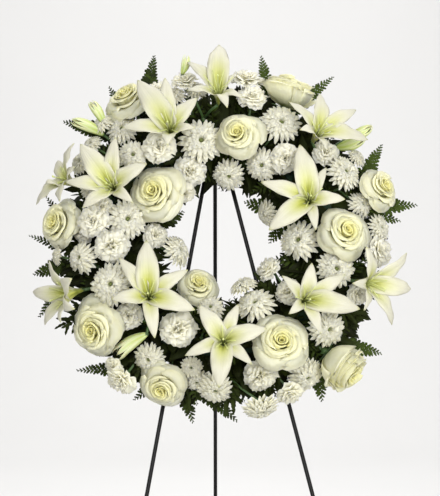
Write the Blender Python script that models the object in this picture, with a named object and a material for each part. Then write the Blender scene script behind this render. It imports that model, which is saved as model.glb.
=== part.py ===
# Standing funeral wreath of white flowers on a folding three-legged rod easel.
# Metres, +Z up, seen from the front along +Y.  The floor is z = 0.
#
# Flowers are placed in the wreath's own axes, which lean back with the easel: "across"
# runs to the viewer's right, "up" runs up the leaning plane, and "out" stands off it
# towards the viewer.  wreathPoint() turns them into world metres.  The layout lists give
# each place as it is seen from straight in front, in millimetres at the flowers' faces,
# and seenPoint() turns that into across and up for a given out.

import bmesh
import bpy
from math import atan2, cos, hypot, pi, radians, sin, sqrt, tan
from mathutils import Vector

mm = 0.001
fitGap = 0.3 * mm               # air left between two pieces that touch

# Easel
lean = radians(12)              # front legs and wreath lean back by this much
easelHeight = 1.200             # floor to the point where the front legs would meet
leftSpread = 0.180              # sideways run of the left leg per metre of height
rightSpread = 0.259
backLegAngle = radians(19.5)    # back leg from the vertical, standing open
rodRadius = 3.75 * mm
apexAcross = -11 * mm           # where the legs meet, from the wreath's centre
apexUp = 241 * mm

# The viewer whose sight gives the layout
eyeDistance = 3.0               # from the flowers' faces
eyeDrop = 17.5 * mm             # below the middle of the wreath
eyeLeft = 1.75 * mm
facesOut = 100 * mm             # the flowers' faces
middleOut = 60 * mm             # the point seen as the middle of the wreath

# Wreath form: a foam ring in a shallow channel tray
ringRadius = 187 * mm           # centre line of the ring
foamHalfWidth = 39.2 * mm
foamFront = 36 * mm             # crown of the foam, out from the ring's centre plane
foamBack = -33.7 * mm
trayHalfWidth = 42 * mm
trayWall = 2 * mm
trayBack = -36 * mm
trayRim = -12 * mm
ringSides = 28

# Stems
stemDepth = 20 * mm             # a stem ends this far from the ring's centre line
stemSides = 4
branchSides = 3
knuckleLength = 4 * mm          # of the swelling where a stem forks, each way
holeSlack = 1.4 * mm            # square hole, corner radius over the stem's
forkHeight = 52 * mm            # where a spray's branches leave its main stem
branchCollar = 2.7 * mm         # under the head of a chrysanthemum or carnation
widestSwing = radians(68)       # heads stand off the foam at this angle at the most
settlingRounds = 6              # a head's place and its height off the ring settle together

frontFace = Vector((0, -cos(lean), sin(lean)))
upFace = Vector((0, sin(lean), cos(lean)))
rightFace = Vector((1, 0, 0))
legPlane = trayBack - fitGap - rodRadius
apexWorld = Vector((0, 0, easelHeight))
wreathCentre = apexWorld - apexAcross * rightFace - apexUp * upFace - legPlane * frontFace

out = Vector((0, 0, 1))         # the wreath's own axes are (across, up, out)


def wreathPoint(point):
    return wreathCentre + point[0] * rightFace + point[1] * upFace + point[2] * frontFace


def seenPoint(across, up, forward):
    """The point at this out that is seen at across and up, all in metres."""
    deep = eyeDistance - (forward - facesOut) * cos(lean)
    seen = up + eyeDrop
    level = (forward - middleOut) * sin(lean) + eyeDrop
    trueUp = (seen * deep - eyeDistance * level) / (eyeDistance * cos(lean) - seen * sin(lean))
    trueAcross = (across + eyeLeft) * (deep + trueUp * sin(lean)) / eyeDistance - eyeLeft
    return Vector((trueAcross, trueUp, forward))


def clearScene():
    for thing in list(bpy.data.objects):
        bpy.data.objects.remove(thing, do_unlink=True)
    for mesh in list(bpy.data.meshes):
        bpy.data.meshes.remove(mesh)


def finish(name, colour, roughness, metallic=0.0):
    material = bpy.data.materials.new(name)
    material.use_nodes = True
    shader = material.node_tree.nodes["Principled BSDF"]
    shader.inputs["Base Color"].default_value = (*colour, 1)
    shader.inputs["Roughness"].default_value = roughness
    shader.inputs["Metallic"].default_value = metallic
    return material


def addObject(name, verts, faces, material, smooth=False):
    mesh = bpy.data.meshes.new(name)
    mesh.from_pydata([tuple(v) for v in verts], [], faces)
    mesh.materials.append(material)
    mesh.validate()
    if smooth:
        mesh.shade_smooth()
        mesh.set_sharp_from_angle(angle=radians(40))
    thing = bpy.data.objects.new(name, mesh)
    bpy.context.scene.collection.objects.link(thing)
    return thing


class Shell:
    """Points and faces of one closed body, grown ring by ring in wreath axes."""

    def __init__(self):
        self.points = []
        self.faces = []

    def ring(self, points):
        first = len(self.points)
        self.points.extend(Vector(p) for p in points)
        return list(range(first, len(self.points)))

    def point(self, p):
        self.points.append(Vector(p))
        return len(self.points) - 1

    def band(self, lower, upper):
        """Joins two rings of any counts that both start at the same angle."""
        a, b = 0, 0
        while a < len(lower) or b < len(upper):
            aNext = (a + 0.5) / len(lower)
            bNext = (b + 0.5) / len(upper)
            here, there = lower[a % len(lower)], upper[b % len(upper)]
            if b == len(upper) or (a < len(lower) and aNext <= bNext):
                self.faces.append((here, lower[(a + 1) % len(lower)], there))
                a += 1
            else:
                self.faces.append((here, upper[(b + 1) % len(upper)], there))
                b += 1

    def cone(self, ring, tip):
        for i, corner in enumerate(ring):
            self.faces.append((corner, ring[(i + 1) % len(ring)], tip))

    def cap(self, ring):
        for i in range(1, len(ring) - 1):
            self.faces.append((ring[0], ring[i + 1], ring[i]))

    def build(self, name, material, smooth=False):
        return addObject(name, [wreathPoint(p) for p in self.points], self.faces, material, smooth)


def sideways(axis, roll=0.0):
    """Two unit vectors square to the axis; the first points up the wreath at roll 0."""
    up = Vector((0, 1, 0)) if abs(axis.y) < 0.9 else Vector((1, 0, 0))
    first = (up - up.dot(axis) * axis).normalized()
    second = axis.cross(first)
    return first * cos(roll) + second * sin(roll), second * cos(roll) - first * sin(roll)


def circle(centre, axis, radius, count, roll=0.0):
    first, second = sideways(axis, roll)
    turns = [2 * pi * i / count for i in range(count)]
    return [centre + radius * (cos(t) * first + sin(t) * second) for t in turns]


def nearestSpine(point):
    flat = Vector((point[0], point[1], 0))
    return flat.normalized() * ringRadius


def headPlace(across, up, lift):
    """A head's centre, lift from the ring's centre line, for a place seen from the front."""
    forward = lift * mm
    for _ in range(settlingRounds):
        spot = seenPoint(across * mm, up * mm, forward)
        radial = Vector((spot.x, spot.y, 0)).normalized()
        beyond = hypot(spot.x, spot.y) - ringRadius
        height = max(lift * mm, abs(beyond) / sin(widestSwing))
        forward = sqrt(height ** 2 - beyond ** 2)
    return radial * (ringRadius + beyond) + out * forward


def facing(centre, tilt, heading=None):
    """Axis turned tilt degrees from straight out, towards heading or away from the wreath's hole."""
    if heading is None:
        flat = Vector((centre.x, centre.y, 0)).normalized()
    else:
        flat = Vector((cos(radians(heading)), sin(radians(heading)), 0))
    return flat * sin(radians(tilt)) + out * cos(radians(tilt))


def addStem(shell, collar, foot, radius):
    """Runs a stem from a head's lowest ring down to its foot and closes it."""
    foot, sides = foot
    neck = shell.points[collar[0]].copy()
    for i in collar[1:]:
        neck += shell.points[i]
    neck /= len(collar)
    axis = (neck - foot).normalized()
    centreWay = (shell.points[collar[0]] - neck)
    first = (centreWay - centreWay.dot(axis) * axis).normalized()
    second = axis.cross(first)
    turns = [2 * pi * i / sides for i in range(sides)]
    end = shell.ring([foot + radius * (cos(t) * first + sin(t) * second) for t in turns])
    shell.band(end, collar)
    shell.cap(end)


stemHoles = []


def stemFoot(base, radius):
    """Where a stem from this base ends in the foam; notes the hole that it needs."""
    spine = nearestSpine(base)
    way = (base - spine).normalized()
    stemHoles.append((spine, way, radius))
    return spine + way * stemDepth, stemSides


# Roses: one closed body whose top is raised in rings of overlapping petals

openRings = (                   # radius, height, petals, rim drawn in, rim dipped, points
    (0.60, -0.62, 0, 0, 0, 15),
    (1.00, -0.12, 5, 0.12, 0.10, 15),
    (0.76, -0.22, 0, 0, 0, 15),
    (0.80, 0.14, 5, 0.10, 0.08, 15),
    (0.60, 0.00, 0, 0, 0, 12),
    (0.61, 0.26, 4, 0.08, 0.07, 12),
    (0.40, 0.10, 0, 0, 0, 9),
    (0.40, 0.32, 3, 0.06, 0.05, 9),
    (0.18, 0.15, 0, 0, 0, 6),
)


closedRings = (
    (0.56, -0.60, 0, 0, 0, 12),
    (0.90, -0.20, 0, 0, 0, 15),
    (0.94, 0.12, 5, 0.05, 0.05, 15),
    (0.86, 0.42, 5, 0.08, 0.10, 15),
    (0.60, 0.16, 0, 0, 0, 12),
    (0.56, 0.44, 4, 0.08, 0.07, 12),
    (0.34, 0.20, 0, 0, 0, 9),
    (0.26, 0.45, 3, 0.05, 0.05, 9),
)
roseBottom = -0.60              # a closed rose is drawn out from here, in radii
closedRoses = {                 # how long for their width
    "rose_far_lower_right": 1.4,
    "rose_top_right": 0.92,
}


def roseShell(head, foot, rings=openRings, longer=1.0):
    across, up, radius, lift, tilt, heading, roll = head
    centre = headPlace(across, up, lift)
    axis = facing(centre, tilt, heading)
    first, second = sideways(axis, radians(roll))
    size = radius * mm
    shell = Shell()
    base = centre - axis * size * 0.95
    collar = shell.ring(circle(base, axis, 3.4 * mm, 6, radians(roll)))
    previous = collar
    for level, (reach, height, petals, drawn, dipped, count) in enumerate(rings):
        height = (height - roseBottom) * longer + roseBottom
        ring = []
        for i in range(count):
            turn = 2 * pi * i / count
            valley = 0.5 - 0.5 * cos(petals * turn + 1.3 * level) if petals else 0
            r = size * (reach - drawn * valley)
            z = size * (height - dipped * valley)
            ring.append(centre + first * r * cos(turn) + second * r * sin(turn) + axis * z)
        ring = shell.ring(ring)
        shell.band(previous, ring)
        previous = ring
    shell.cone(previous, shell.point(centre + axis * size * 0.30))
    addStem(shell, collar, foot(base, 2.5 * mm), 2.5 * mm)
    return shell


# Spray chrysanthemums: two starry layers of narrow petals round a small eye

def mumShell(head, foot):
    across, up, radius, lift, tilt, heading, roll = head
    centre = headPlace(across, up, lift)
    axis = facing(centre, tilt, heading)
    first, second = sideways(axis, radians(roll))
    size = radius * mm
    petals = 11 if radius >= 30 else 9 if radius >= 22 else 7
    shell = Shell()

    def star(tipReach, tipHeight, notchReach, notchHeight, firstTip):
        ring = []
        for i in range(2 * petals):
            turn = pi * i / petals
            onTip = i % 2 == firstTip
            r, z = (tipReach, tipHeight) if onTip else (notchReach, notchHeight)
            ring.append(centre + size * (r * cos(turn) * first + r * sin(turn) * second + z * axis))
        return shell.ring(ring)

    def circlet(reach, height):
        ring = []
        for i in range(petals):
            turn = 2 * pi * i / petals
            ring.append(centre + size * (reach * cos(turn) * first + reach * sin(turn) * second
                                         + height * axis))
        return shell.ring(ring)

    base = centre - axis * size * 0.42
    collar = shell.ring(circle(base, axis, branchCollar, 4, radians(roll)))
    outer = star(1.0, -0.14, 0.66, -0.05, 0)
    shell.band(collar, outer)
    waist = circlet(0.40, 0.12)
    shell.band(outer, waist)
    inner = star(0.80, 0.20, 0.50, 0.30, 1)
    shell.band(waist, inner)
    shell.cone(inner, shell.point(centre + axis * size * 0.24))
    addStem(shell, collar, foot(base, 2.0 * mm), 2.0 * mm)
    return shell


# Miniature carnations: three ruffled tiers

carnationTiers = (              # rim reach, rim height, ruffle in, ruffle up, points
    (1.00, -0.05, 0.20, 0.16, 12),
    (0.58, -0.02, 0, 0, 6),
    (0.72, 0.30, 0.18, -0.14, 10),
    (0.30, 0.12, 0, 0, 5),
    (0.36, 0.42, 0.16, -0.10, 6),
)


def carnationShell(head, foot):
    across, up, radius, lift, tilt, heading, roll = head
    centre = headPlace(across, up, lift)
    axis = facing(centre, tilt, heading)
    first, second = sideways(axis, radians(roll))
    size = radius * mm
    shell = Shell()
    base = centre - axis * size * 0.85
    collar = shell.ring(circle(base, axis, branchCollar, 4, radians(roll)))
    previous = collar
    for reach, height, pull, lifted, count in carnationTiers:
        ring = []
        for i in range(count):
            turn = 2 * pi * i / count
            odd = i % 2
            r = size * (reach - pull * odd)
            z = size * (height + lifted * odd)
            ring.append(centre + first * r * cos(turn) + second * r * sin(turn) + axis * z)
        ring = shell.ring(ring)
        shell.band(previous, ring)
        previous = ring
    shell.cone(previous, shell.point(centre + axis * size * 0.28))
    addStem(shell, collar, foot(base, 1.8 * mm), 1.8 * mm)
    return shell


# Lilies: six arched tepals, thick at the midrib and sharp at the rim, grown from one throat

tepalStations = ((0.34, 0.78), (0.64, 1.0), (0.86, 0.66))    # along the tepal, share of width
tepalThick = 1.0 * mm           # half thickness at the midrib
throatRadius = 8 * mm
throatRise = 7 * mm


def lilyShell(flower, foot):
    across, up, lift, tilt, heading, tips = flower
    centre = headPlace(across, up, lift)
    axis = facing(centre, tilt, heading)
    first, second = sideways(axis)
    tepals = []
    for tip in tips:
        flat = Vector((tip[0], tip[1], 0)) * mm
        forward = (tip[2] if len(tip) > 2 else 24) * mm
        rise = (forward - flat.dot(axis)) / axis.z
        end = seenPoint((across + tip[0]) * mm, (up + tip[1]) * mm, centre.z + rise) - centre
        spread = end - end.dot(axis) * axis
        tepals.append((atan2(spread.dot(second), spread.dot(first)), end, spread.normalized()))
    tepals.sort(key=lambda t: t[0])
    count = len(tepals)
    shell = Shell()
    gaps = []
    for k in range(count):
        gap = (tepals[(k + 1) % count][0] - tepals[k][0]) % (2 * pi)
        gaps.append(gap)
    rim, lipTop, lipBottom = [], [], []

    def onThroat(turn, radius, height):
        return centre + radius * (cos(turn) * first + sin(turn) * second) + axis * height

    for k in range(count):
        turn = tepals[k][0]
        lipTop.append(shell.point(onThroat(turn, throatRadius - tepalThick, throatRise)))
        lipBottom.append(shell.point(onThroat(turn, throatRadius + tepalThick, throatRise - 2 * mm)))
        rim.append(shell.point(onThroat(turn + gaps[k] / 2, throatRadius, throatRise - 1 * mm)))
    floor = shell.ring([onThroat(tepals[k][0], 2.6 * mm, 1 * mm) for k in range(count)])

    for k in range(count):
        turn, end, spread = tepals[k]
        left, right = rim[k - 1], rim[k]
        length = end.length
        width = length * (0.33 if k % 2 else 0.27)
        side = axis.cross(spread).normalized()
        start = spread * throatRadius + axis * throatRise
        bend1 = start + axis * length * 0.30 + spread * length * 0.16
        bend2 = end - spread * length * 0.34 + axis * length * 0.16
        edge = (left, lipTop[k], lipBottom[k], right)
        for t, share in tepalStations:
            s = 1 - t
            spot = (start * s ** 3 + bend1 * 3 * s * s * t + bend2 * 3 * s * t * t + end * t ** 3)
            along = ((bend1 - start) * s * s + (bend2 - bend1) * 2 * s * t
                     + (end - bend2) * t * t).normalized()
            face = along.cross(side).normalized()
            reach = (spot - spot.dot(axis) * axis).length
            half = width * share / 2
            halfLeft = min(half, reach * tan(min(1.2, 0.44 * gaps[k - 1])))
            halfRight = min(half, reach * tan(min(1.2, 0.44 * gaps[k])))
            spot = centre + spot
            now = (shell.point(spot - side * halfLeft - face * halfLeft * 0.18),
                   shell.point(spot + face * tepalThick),
                   shell.point(spot - face * tepalThick),
                   shell.point(spot + side * halfRight - face * halfRight * 0.18))
            shell.faces += [(edge[0], now[0], now[1]), (edge[0], now[1], edge[1]),
                            (edge[1], now[1], now[3]), (edge[1], now[3], edge[3]),
                            (edge[0], edge[2], now[2]), (edge[0], now[2], now[0]),
                            (edge[2], edge[3], now[3]), (edge[2], now[3], now[2])]
            edge = now
        apex = shell.point(centre + end)
        shell.faces += [(edge[0], apex, edge[1]), (edge[1], apex, edge[3]),
                        (edge[0], edge[2], apex), (edge[2], edge[3], apex)]
        # the throat's wall inside, with a filament standing between each two tepals
        nextTop = lipTop[(k + 1) % count]
        a, b = floor[k], floor[(k + 1) % count]
        shell.faces += [(lipTop[k], right, a), (right, nextTop, b)]
        middle = turn + gaps[k] / 2
        reach = 0.30 * length
        thread = shell.point(onThroat(middle, reach, 0.42 * length))
        shell.faces += [(right, b, thread), (b, a, thread), (a, right, thread)]
    pistil = shell.point(centre + axis * 0.60 * max(t[1].length for t in tepals) - Vector((0, 0.006, 0)))
    shell.cone(floor, pistil)

    collarCentre = centre - axis * 16 * mm
    collar = shell.ring(circle(collarCentre, axis, 3.2 * mm, 6, tepals[0][0]))
    outside = []
    for k in range(count):
        outside += [lipBottom[k], rim[k]]
    shell.band(collar, outside)
    addStem(shell, collar, foot(collarCentre, 2.8 * mm), 2.8 * mm)
    return shell


def budShell(bud, foot):
    """A closed or half-open lily bud, three-lobed, from its base to its tip."""
    baseAcross, baseUp, baseLift, tipAcross, tipUp, tipLift, radius = bud
    start = headPlace(baseAcross, baseUp, baseLift)
    end = headPlace(tipAcross, tipUp, tipLift)
    axis = (end - start).normalized()
    length = (end - start).length
    shell = Shell()
    collar = shell.ring(circle(start, axis, 2.6 * mm, 6))
    previous = collar
    for t, share in ((0.25, 0.72), (0.60, 1.0), (0.86, 0.62)):
        ring = circle(start + axis * length * t, axis, radius * mm * share, 6)
        core = start + axis * length * t
        ring = [core + (p - core) * (0.86 if i % 2 else 1.0) for i, p in enumerate(ring)]
        ring = shell.ring(ring)
        shell.band(previous, ring)
        previous = ring
    shell.cone(previous, shell.point(end))
    addStem(shell, collar, foot(start, 2.2 * mm), 2.2 * mm)
    return shell


# Fern: arched ribs with leaflets cut down to the rib

frondStalk = 2.4 * mm
ribHalf = 0.9 * mm              # half thickness of a rib and of a leaflet's root
ribWide = 1.3 * mm
pinnaSag = 0.10                 # rise of the arch, share of the pinna's length

def pinnaShell(tip, root, ribStart, pairs, spread, foot):
    """One pinna.  tip and root are wreath points; foot is where its stalk ends."""
    shell = Shell()
    run = tip - root
    length = run.length
    way = run.normalized()
    side = way.cross(out)
    side = side.normalized() if side.length > 0.2 else way.cross(Vector((1, 0, 0))).normalized()
    face = side.cross(way).normalized()

    def onRib(t):
        return root + run * t + face * pinnaSag * length * 4 * t * (1 - t)

    def crossRing(spot, wide):
        return shell.ring([spot - side * wide, spot + face * ribHalf, spot + side * wide,
                           spot - face * ribHalf])

    stalk = shell.ring([foot - side * 1.2 * mm, foot + face * 1.2 * mm, foot + side * 1.2 * mm,
                        foot - face * 1.2 * mm])
    edge = crossRing(onRib(ribStart), ribWide)
    shell.cap(stalk)
    shell.band(stalk, edge)
    step = (1 - ribStart) / (pairs + 0.6)
    for i in range(pairs):
        t = ribStart + step * (i + 1)
        share = 1 - i / pairs
        reach = spread * mm * (0.35 + 0.65 * share) * (0.8 if i == 0 else 1.0)
        spot = onRib(t)
        now = crossRing(spot, ribWide if i < pairs - 1 else ribHalf)
        middle = onRib(t - 0.5 * step) + way * reach * 0.45
        for hand, here, there in ((-1, edge[0], now[0]), (1, edge[2], now[2])):
            leaf = shell.point(middle + side * hand * reach - face * reach * 0.10)
            around = [here, edge[1], now[1], there, now[3], edge[3]]
            if hand > 0:
                around.reverse()
            shell.cone(around, leaf)
        edge = now
    apex = shell.point(tip)
    shell.cone(edge, apex)
    return shell


# Joining the pieces of one spray

def largestBody(mesh):
    """Drops every loose scrap but the largest connected body."""
    shape = bmesh.new()
    shape.from_mesh(mesh)
    bmesh.ops.remove_doubles(shape, verts=shape.verts, dist=mm / 1000)
    bodies = []
    seen = set()
    for start in shape.verts:
        if start in seen:
            continue
        body = [start]
        seen.add(start)
        for vert in body:
            for edge in vert.link_edges:
                other = edge.other_vert(vert)
                if other not in seen:
                    seen.add(other)
                    body.append(other)
        bodies.append(body)
    bodies.sort(key=len)
    for body in bodies[:-1]:
        bmesh.ops.delete(shape, geom=body, context="VERTS")
    shape.to_mesh(mesh)
    shape.free()


def fuse(name, parts, material):
    """One closed body from several: a Boolean union on a collection, applied."""
    base = parts[0]
    group = bpy.data.collections.new(name + "_parts")
    for other in parts[1:]:
        bpy.context.scene.collection.objects.unlink(other)
        group.objects.link(other)
    union = base.modifiers.new("union", "BOOLEAN")
    union.operation = "UNION"
    union.operand_type = "COLLECTION"
    union.collection = group
    union.solver = "EXACT"
    bpy.context.view_layer.update()
    evaluated = base.evaluated_get(bpy.context.evaluated_depsgraph_get())
    mesh = bpy.data.meshes.new_from_object(evaluated)
    largestBody(mesh)
    base.modifiers.clear()
    base.data = mesh
    base.name = name
    for other in list(group.objects):
        bpy.data.objects.remove(other, do_unlink=True)
    bpy.data.collections.remove(group)
    return base


def forkWay(bases):
    """The point on the ring's centre line under these bases, and the way from it to their middle."""
    middle = Vector((0, 0, 0))
    for base in bases:
        middle += base / len(bases)
    spine = nearestSpine(middle)
    way = (middle - spine).normalized()
    return spine, way


def branchedNode(name, makers, material, stemRadius):
    """Several heads on branches of one stem.  makers: (shell function, its entry)."""
    bases = []

    def listen(base, radius):
        bases.append(base)
        return base - out * 30 * mm, branchSides

    for make, entry in makers:
        make(entry, listen)
    spine, way = forkWay(bases)
    fork = spine + way * forkHeight
    stemHoles.append((spine, way, stemRadius))
    main = Shell()
    bottom = main.ring(circle(spine + way * stemDepth, way, stemRadius, stemSides))
    main.cap(bottom)
    neck = main.ring(circle(fork - way * knuckleLength, way, stemRadius, stemSides))
    main.band(bottom, neck)
    knuckle = main.ring(circle(fork, way, stemRadius * 1.5, stemSides))
    main.band(neck, knuckle)
    main.cone(knuckle, main.point(fork + way * knuckleLength))
    parts = [main.build(name, material)]
    for make, entry in makers:
        shell = make(entry, lambda base, radius: (fork - (base - fork).normalized() * mm, branchSides))
        parts.append(shell.build(name + "_part", material))
    return fuse(name, parts, material)


# Layout: places across and up are millimetres on the wreath's face from its centre

roses = {                       # across, up, radius, lift off the ring, tilt, heading, roll
    "rose_top_centre": (30, 182, 39, 108, 14, 140, 0),
    "rose_upper_left": (-115, 80, 43, 104, 20, 160, 40),
    "rose_far_left": (-286, 26, 38, 112, 40, None, 10),
    "rose_lower_left": (-222, -159, 44, 112, 34, None, 70),
    "rose_bottom_left": (-104, -262, 35, 108, 42, None, 20),
    "rose_bottom_right": (105, -182, 45, 112, 10, 60, 55),
    "rose_right": (218, 10, 42, 110, 20, 20, 0),
    "rose_far_lower_right": (206, -219, 42, 112, 78, -42, 30),
    "rose_inner_bottom": (-39, -82, 32, 108, 24, 60, 0),
    "rose_top_right": (120, 257, 48, 100, 84, 72, 0),
    "rose_far_upper_left": (-163, 244, 42, 100, 48, 124, 50),
    "rose_far_right": (281, 87, 37, 114, 44, None, 0),
}

mums = {                        # the same columns as the roses
    "chrysanthemums_top": ((14, 110, 28, 84, -34, None, 0), (72, 128, 28, 84, -20, None, 8),
                           (105, 200, 35, 92, 12, None, 4)),
    "chrysanthemums_top_left": ((-35, 170, 36, 80, 0, None, 0), (-84, 248, 22, 84, 34, None, 0)),
    "chrysanthemums_upper_left": ((-154, 144, 27, 82, 4, None, 6), (-172, 190, 27, 98, 22, None, 0),
                                  (-226, 163, 19, 96, 40, None, 0), (-244, 132, 23, 98, 38, None, 5)),
    "chrysanthemums_upper_right": ((215, 114, 31, 92, 30, None, 3), (244, 57, 25, 82, 40, None, 0),
                                   (238, 140, 19, 100, 50, None, 0)),
    "chrysanthemums_inner_right": ((82, 42, 25, 104, -62, None, 0), (138, -4, 35, 86, -20, None, 4)),
    "chrysanthemums_right": ((201, -54, 32, 90, 8, None, 0), (277, 18, 23, 104, 42, None, 0)),
    "chrysanthemums_inner_bottom": ((61, -117, 34, 88, -30, None, 5), (39, -84, 24, 112, -58, None, 0)),
    "chrysanthemums_lower_right": ((186, -158, 31, 92, 30, None, 0), (149, -240, 31, 100, 44, None, 5)),
    "chrysanthemums_bottom": ((70, -296, 31, 116, 66, None, 0), (-10, -263, 30, 92, 44, None, 0),
                              (-42, -250, 23, 80, 40, None, 5)),
    "chrysanthemum_lower_left": ((-126, -211, 27, 82, 26, None, 0),),
    "chrysanthemums_left": ((-191, -82, 35, 92, 12, None, 0), (-243, -35, 29, 90, 34, None, 4),
                            (-287, -32, 16, 106, 64, None, 0)),
    "chrysanthemums_inner_left": ((-164, 33, 33, 84, -8, None, 6), (-77, -23, 29, 112, -50, None, 0)),
}

carnations = {
    "carnations_top_left": ((-108, 160, 26, 92, 0, None, 0), (-55, 116, 26, 84, -20, None, 0),
                            (-62, 78, 17, 112, -40, None, 0)),
    "carnations_left": ((-224, 30, 25, 92, 18, None, 0), (-240, 10, 18, 76, 28, None, 0),
                        (-191, -14, 27, 92, 0, None, 0), (-209, 55, 17, 86, 10, None, 0),
                        (-114, 5, 20, 94, -28, None, 0)),
    "carnations_inner_lower_left": ((-74, -159, 28, 90, -6, None, 0), (-162, -136, 22, 78, 10, None, 0)),
    "carnation_bottom_left": ((-175, -250, 25, 120, 60, None, 0),),
    "carnation_top": ((55, 247, 24, 106, 30, None, 0),),
    "carnations_upper_right": ((112, 140, 24, 92, -6, None, 0), (184, 150, 22, 84, 20, None, 0)),
    "carnations_bottom_right": ((70, -241, 26, 92, 30, None, 0), (122, -273, 21, 112, 58, None, 0)),
    "carnations_inner_right": ((82, -53, 20, 100, -48, None, 0), (118, -94, 20, 80, -20, None, 0)),
    "carnations_right": ((240, -98, 18, 92, 34, None, 0), (277, -22, 26, 98, 40, None, 0)),
}

# Lily tepal tips are (across, up[, forward]) from the flower's throat
lilies = {                      # across, up, lift, tilt, heading, tips; then buds
    "lily_top_left": (((-88, 186, 100, 10, None,
                        ((-58, 90), (-10, 94), (46, 59), (-85, 8), (43, 6, 34), (-6, -24, 44))),), ()),
    "lily_top": (((-5, 246, 104, 34, None,
                   ((2, 92), (-54, 62), (-55, 12), (44, 0), (16, -18, 44), (33, 41))),),
                 ((-68, 287, 92, -59, 320, 116, 8),)),
    "lily_upper_left": (((-188, 86, 102, 12, None,
                          ((-58, 78), (3, 90), (-84, 12), (-54, -33), (58, 44), (34, -24, 34))),
                         (-262, 104, 104, 60, None,
                          ((-24, 31), (5, 62, 34), (-61, -45), (-20, -40), (6, 20), (-45, -10, 40)))), ()),
    "lily_upper_right": (((166, 177, 112, 30, None,
                           ((-47, 61), (7, 75), (70, 47), (91, -5), (-28, 12, 40), (18, -24))),),
                         ((222, 176, 92, 265, 196, 112, 10), (198, 158, 86, 254, 176, 100, 11))),
    "lily_right": (((154, 63, 104, 6, 80,
                     ((-16, 100), (30, 60), (63, 5), (12, -49), (-70, -49), (-84, 35))),), ()),
    "lily_left": (((-126, -105, 104, 6, 90,
                    ((-5, 101), (-52, 70), (68, 49), (80, -21), (10, -70), (-66, -2))),),
                  ((-130, -168, 80, -184, -206, 98, 12),)),
    "lily_bottom": (((4, -184, 104, 8, 90,
                      ((-42, 66), (26, 68), (76, 26), (50, -37), (-8, -78), (-67, -22))),), ()),
    "lily_lower_right": (((145, -110, 106, 10, 0,
                           ((14, 66), (72, 46), (98, -14), (30, -58), (-26, -23), (-38, 44))),), ()),
    "lily_far_right": (((248, -77, 108, 52, None,
                         ((6, 62), (77, 51), (84, -12), (51, -75), (2, -50), (-10, 14, 60))),), ()),
    "lily_far_left": (((-254, -94, 108, 58, 200,
                        ((-75, 0), (-54, -58), (-26, -54, 40), (-7, 23, 50), (-47, 55),
                         (-2, -30, 60))),), ()),
    "lily_far_upper_left": ((), ((-205, 200, 84, -229, 239, 112, 9), (-206, 181, 84, -262, 206, 108, 10))),
}

# Fern fronds: a stalk out of the foam at this place, forking to pinnae with these tips
ferns = {                       # root across, up, swing from the face; tips across, up, out, spread
    "fern_upper_left": ((-115, 147, 97), ((-275, 203, -10, 14), (-196, 264, -20, 11),
                                          (-117, 319, -12, 14))),
    "fern_upper_right": ((76, 170, 97), ((70, 318, -14, 12), (196, 282, -18, 11))),
    "fern_right": ((180, 50, 97), ((281, 163, -16, 13), (342, 58, -14, 12), (313, 30, -20, 11))),
    "fern_lower_right": ((130, -134, 97), ((280, -202, -16, 13), (177, -284, -18, 14))),
    "fern_bottom": ((-60, -177, 97), ((28, -320, -14, 13), (-49, -322, -18, 12), (-152, -283, -18, 11),
                                      (-252, -232, -16, 12))),
    "fern_left": ((-185, -20, 97), ((-318, -138, -16, 12), (-327, -64, -18, 13), (-336, 4, -16, 8),
                                    (-306, 72, -18, 10))),
    "fern_inner_left": ((-180, 40, -97), ((-67, 46, -10, 13), (-97, 20, -16, 10), (-62, -40, -10, 11))),
    "fern_inner_right": ((170, 75, -97), ((42, 62, -10, 13), (86, -8, -10, 11))),
}


def makeRoses(material):
    for name, head in roses.items():
        if name in closedRoses:
            shell = roseShell(head, stemFoot, closedRings, closedRoses[name])
        else:
            shell = roseShell(head, stemFoot)
        shell.build(name, material, smooth=True)


def makeSprays(table, make, material, stemRadius):
    for name, heads in table.items():
        if len(heads) == 1:
            make(heads[0], stemFoot).build(name, material)
        else:
            branchedNode(name, [(make, head) for head in heads], material, stemRadius)


def makeLilies(material):
    for name, (flowers, buds) in lilies.items():
        makers = [(lilyShell, flower) for flower in flowers] + [(budShell, bud) for bud in buds]
        if len(makers) == 1:
            lilyShell(flowers[0], stemFoot).build(name, material)
        else:
            branchedNode(name, makers, material, 3.2 * mm)


def makeFerns(material):
    for name, (root, tips) in ferns.items():
        spine = nearestSpine(Vector((root[0], root[1], 0)))
        radial = spine.normalized()
        way = radial * sin(radians(root[2])) + out * cos(radians(root[2]))
        stemHoles.append((spine, way, frondStalk))
        fork = spine + way * (foamHalfWidth + 12 * mm)
        main = Shell()
        bottom = main.ring(circle(spine + way * stemDepth, way, frondStalk, stemSides))
        main.cap(bottom)
        knuckle = main.ring(circle(fork, way, frondStalk + 0.2 * mm, stemSides))
        main.band(bottom, knuckle)
        main.cone(knuckle, main.point(fork + way * 3 * mm))
        parts = [main.build(name, material)]
        for across, up, rise, spread in tips:
            tip = seenPoint(across * mm, up * mm, rise * mm)
            length = (tip - fork).length
            pairs = max(3, min(6, round(length / mm / 20)))
            pinna = pinnaShell(tip, fork, 0.22, pairs, spread, fork - (tip - fork).normalized() * 1 * mm)
            parts.append(pinna.build(name + "_part", material))
        fuse(name, parts, material)


def ringSolid(name, profile, material):
    """Turns a closed outline of (from the centre line, out) points round the wreath's centre."""
    verts, faces = [], []
    count = len(profile)
    for i in range(ringSides):
        turn = 2 * pi * i / ringSides
        for across, forward in profile:
            r = ringRadius + across
            verts.append(wreathPoint((r * cos(turn), r * sin(turn), forward)))
    for i in range(ringSides):
        for j in range(count):
            a, b = i * count + j, i * count + (j + 1) % count
            c, d = ((i + 1) % ringSides) * count + (j + 1) % count, ((i + 1) % ringSides) * count + j
            faces.append((a, b, c, d))
    return addObject(name, verts, faces, material)


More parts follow.
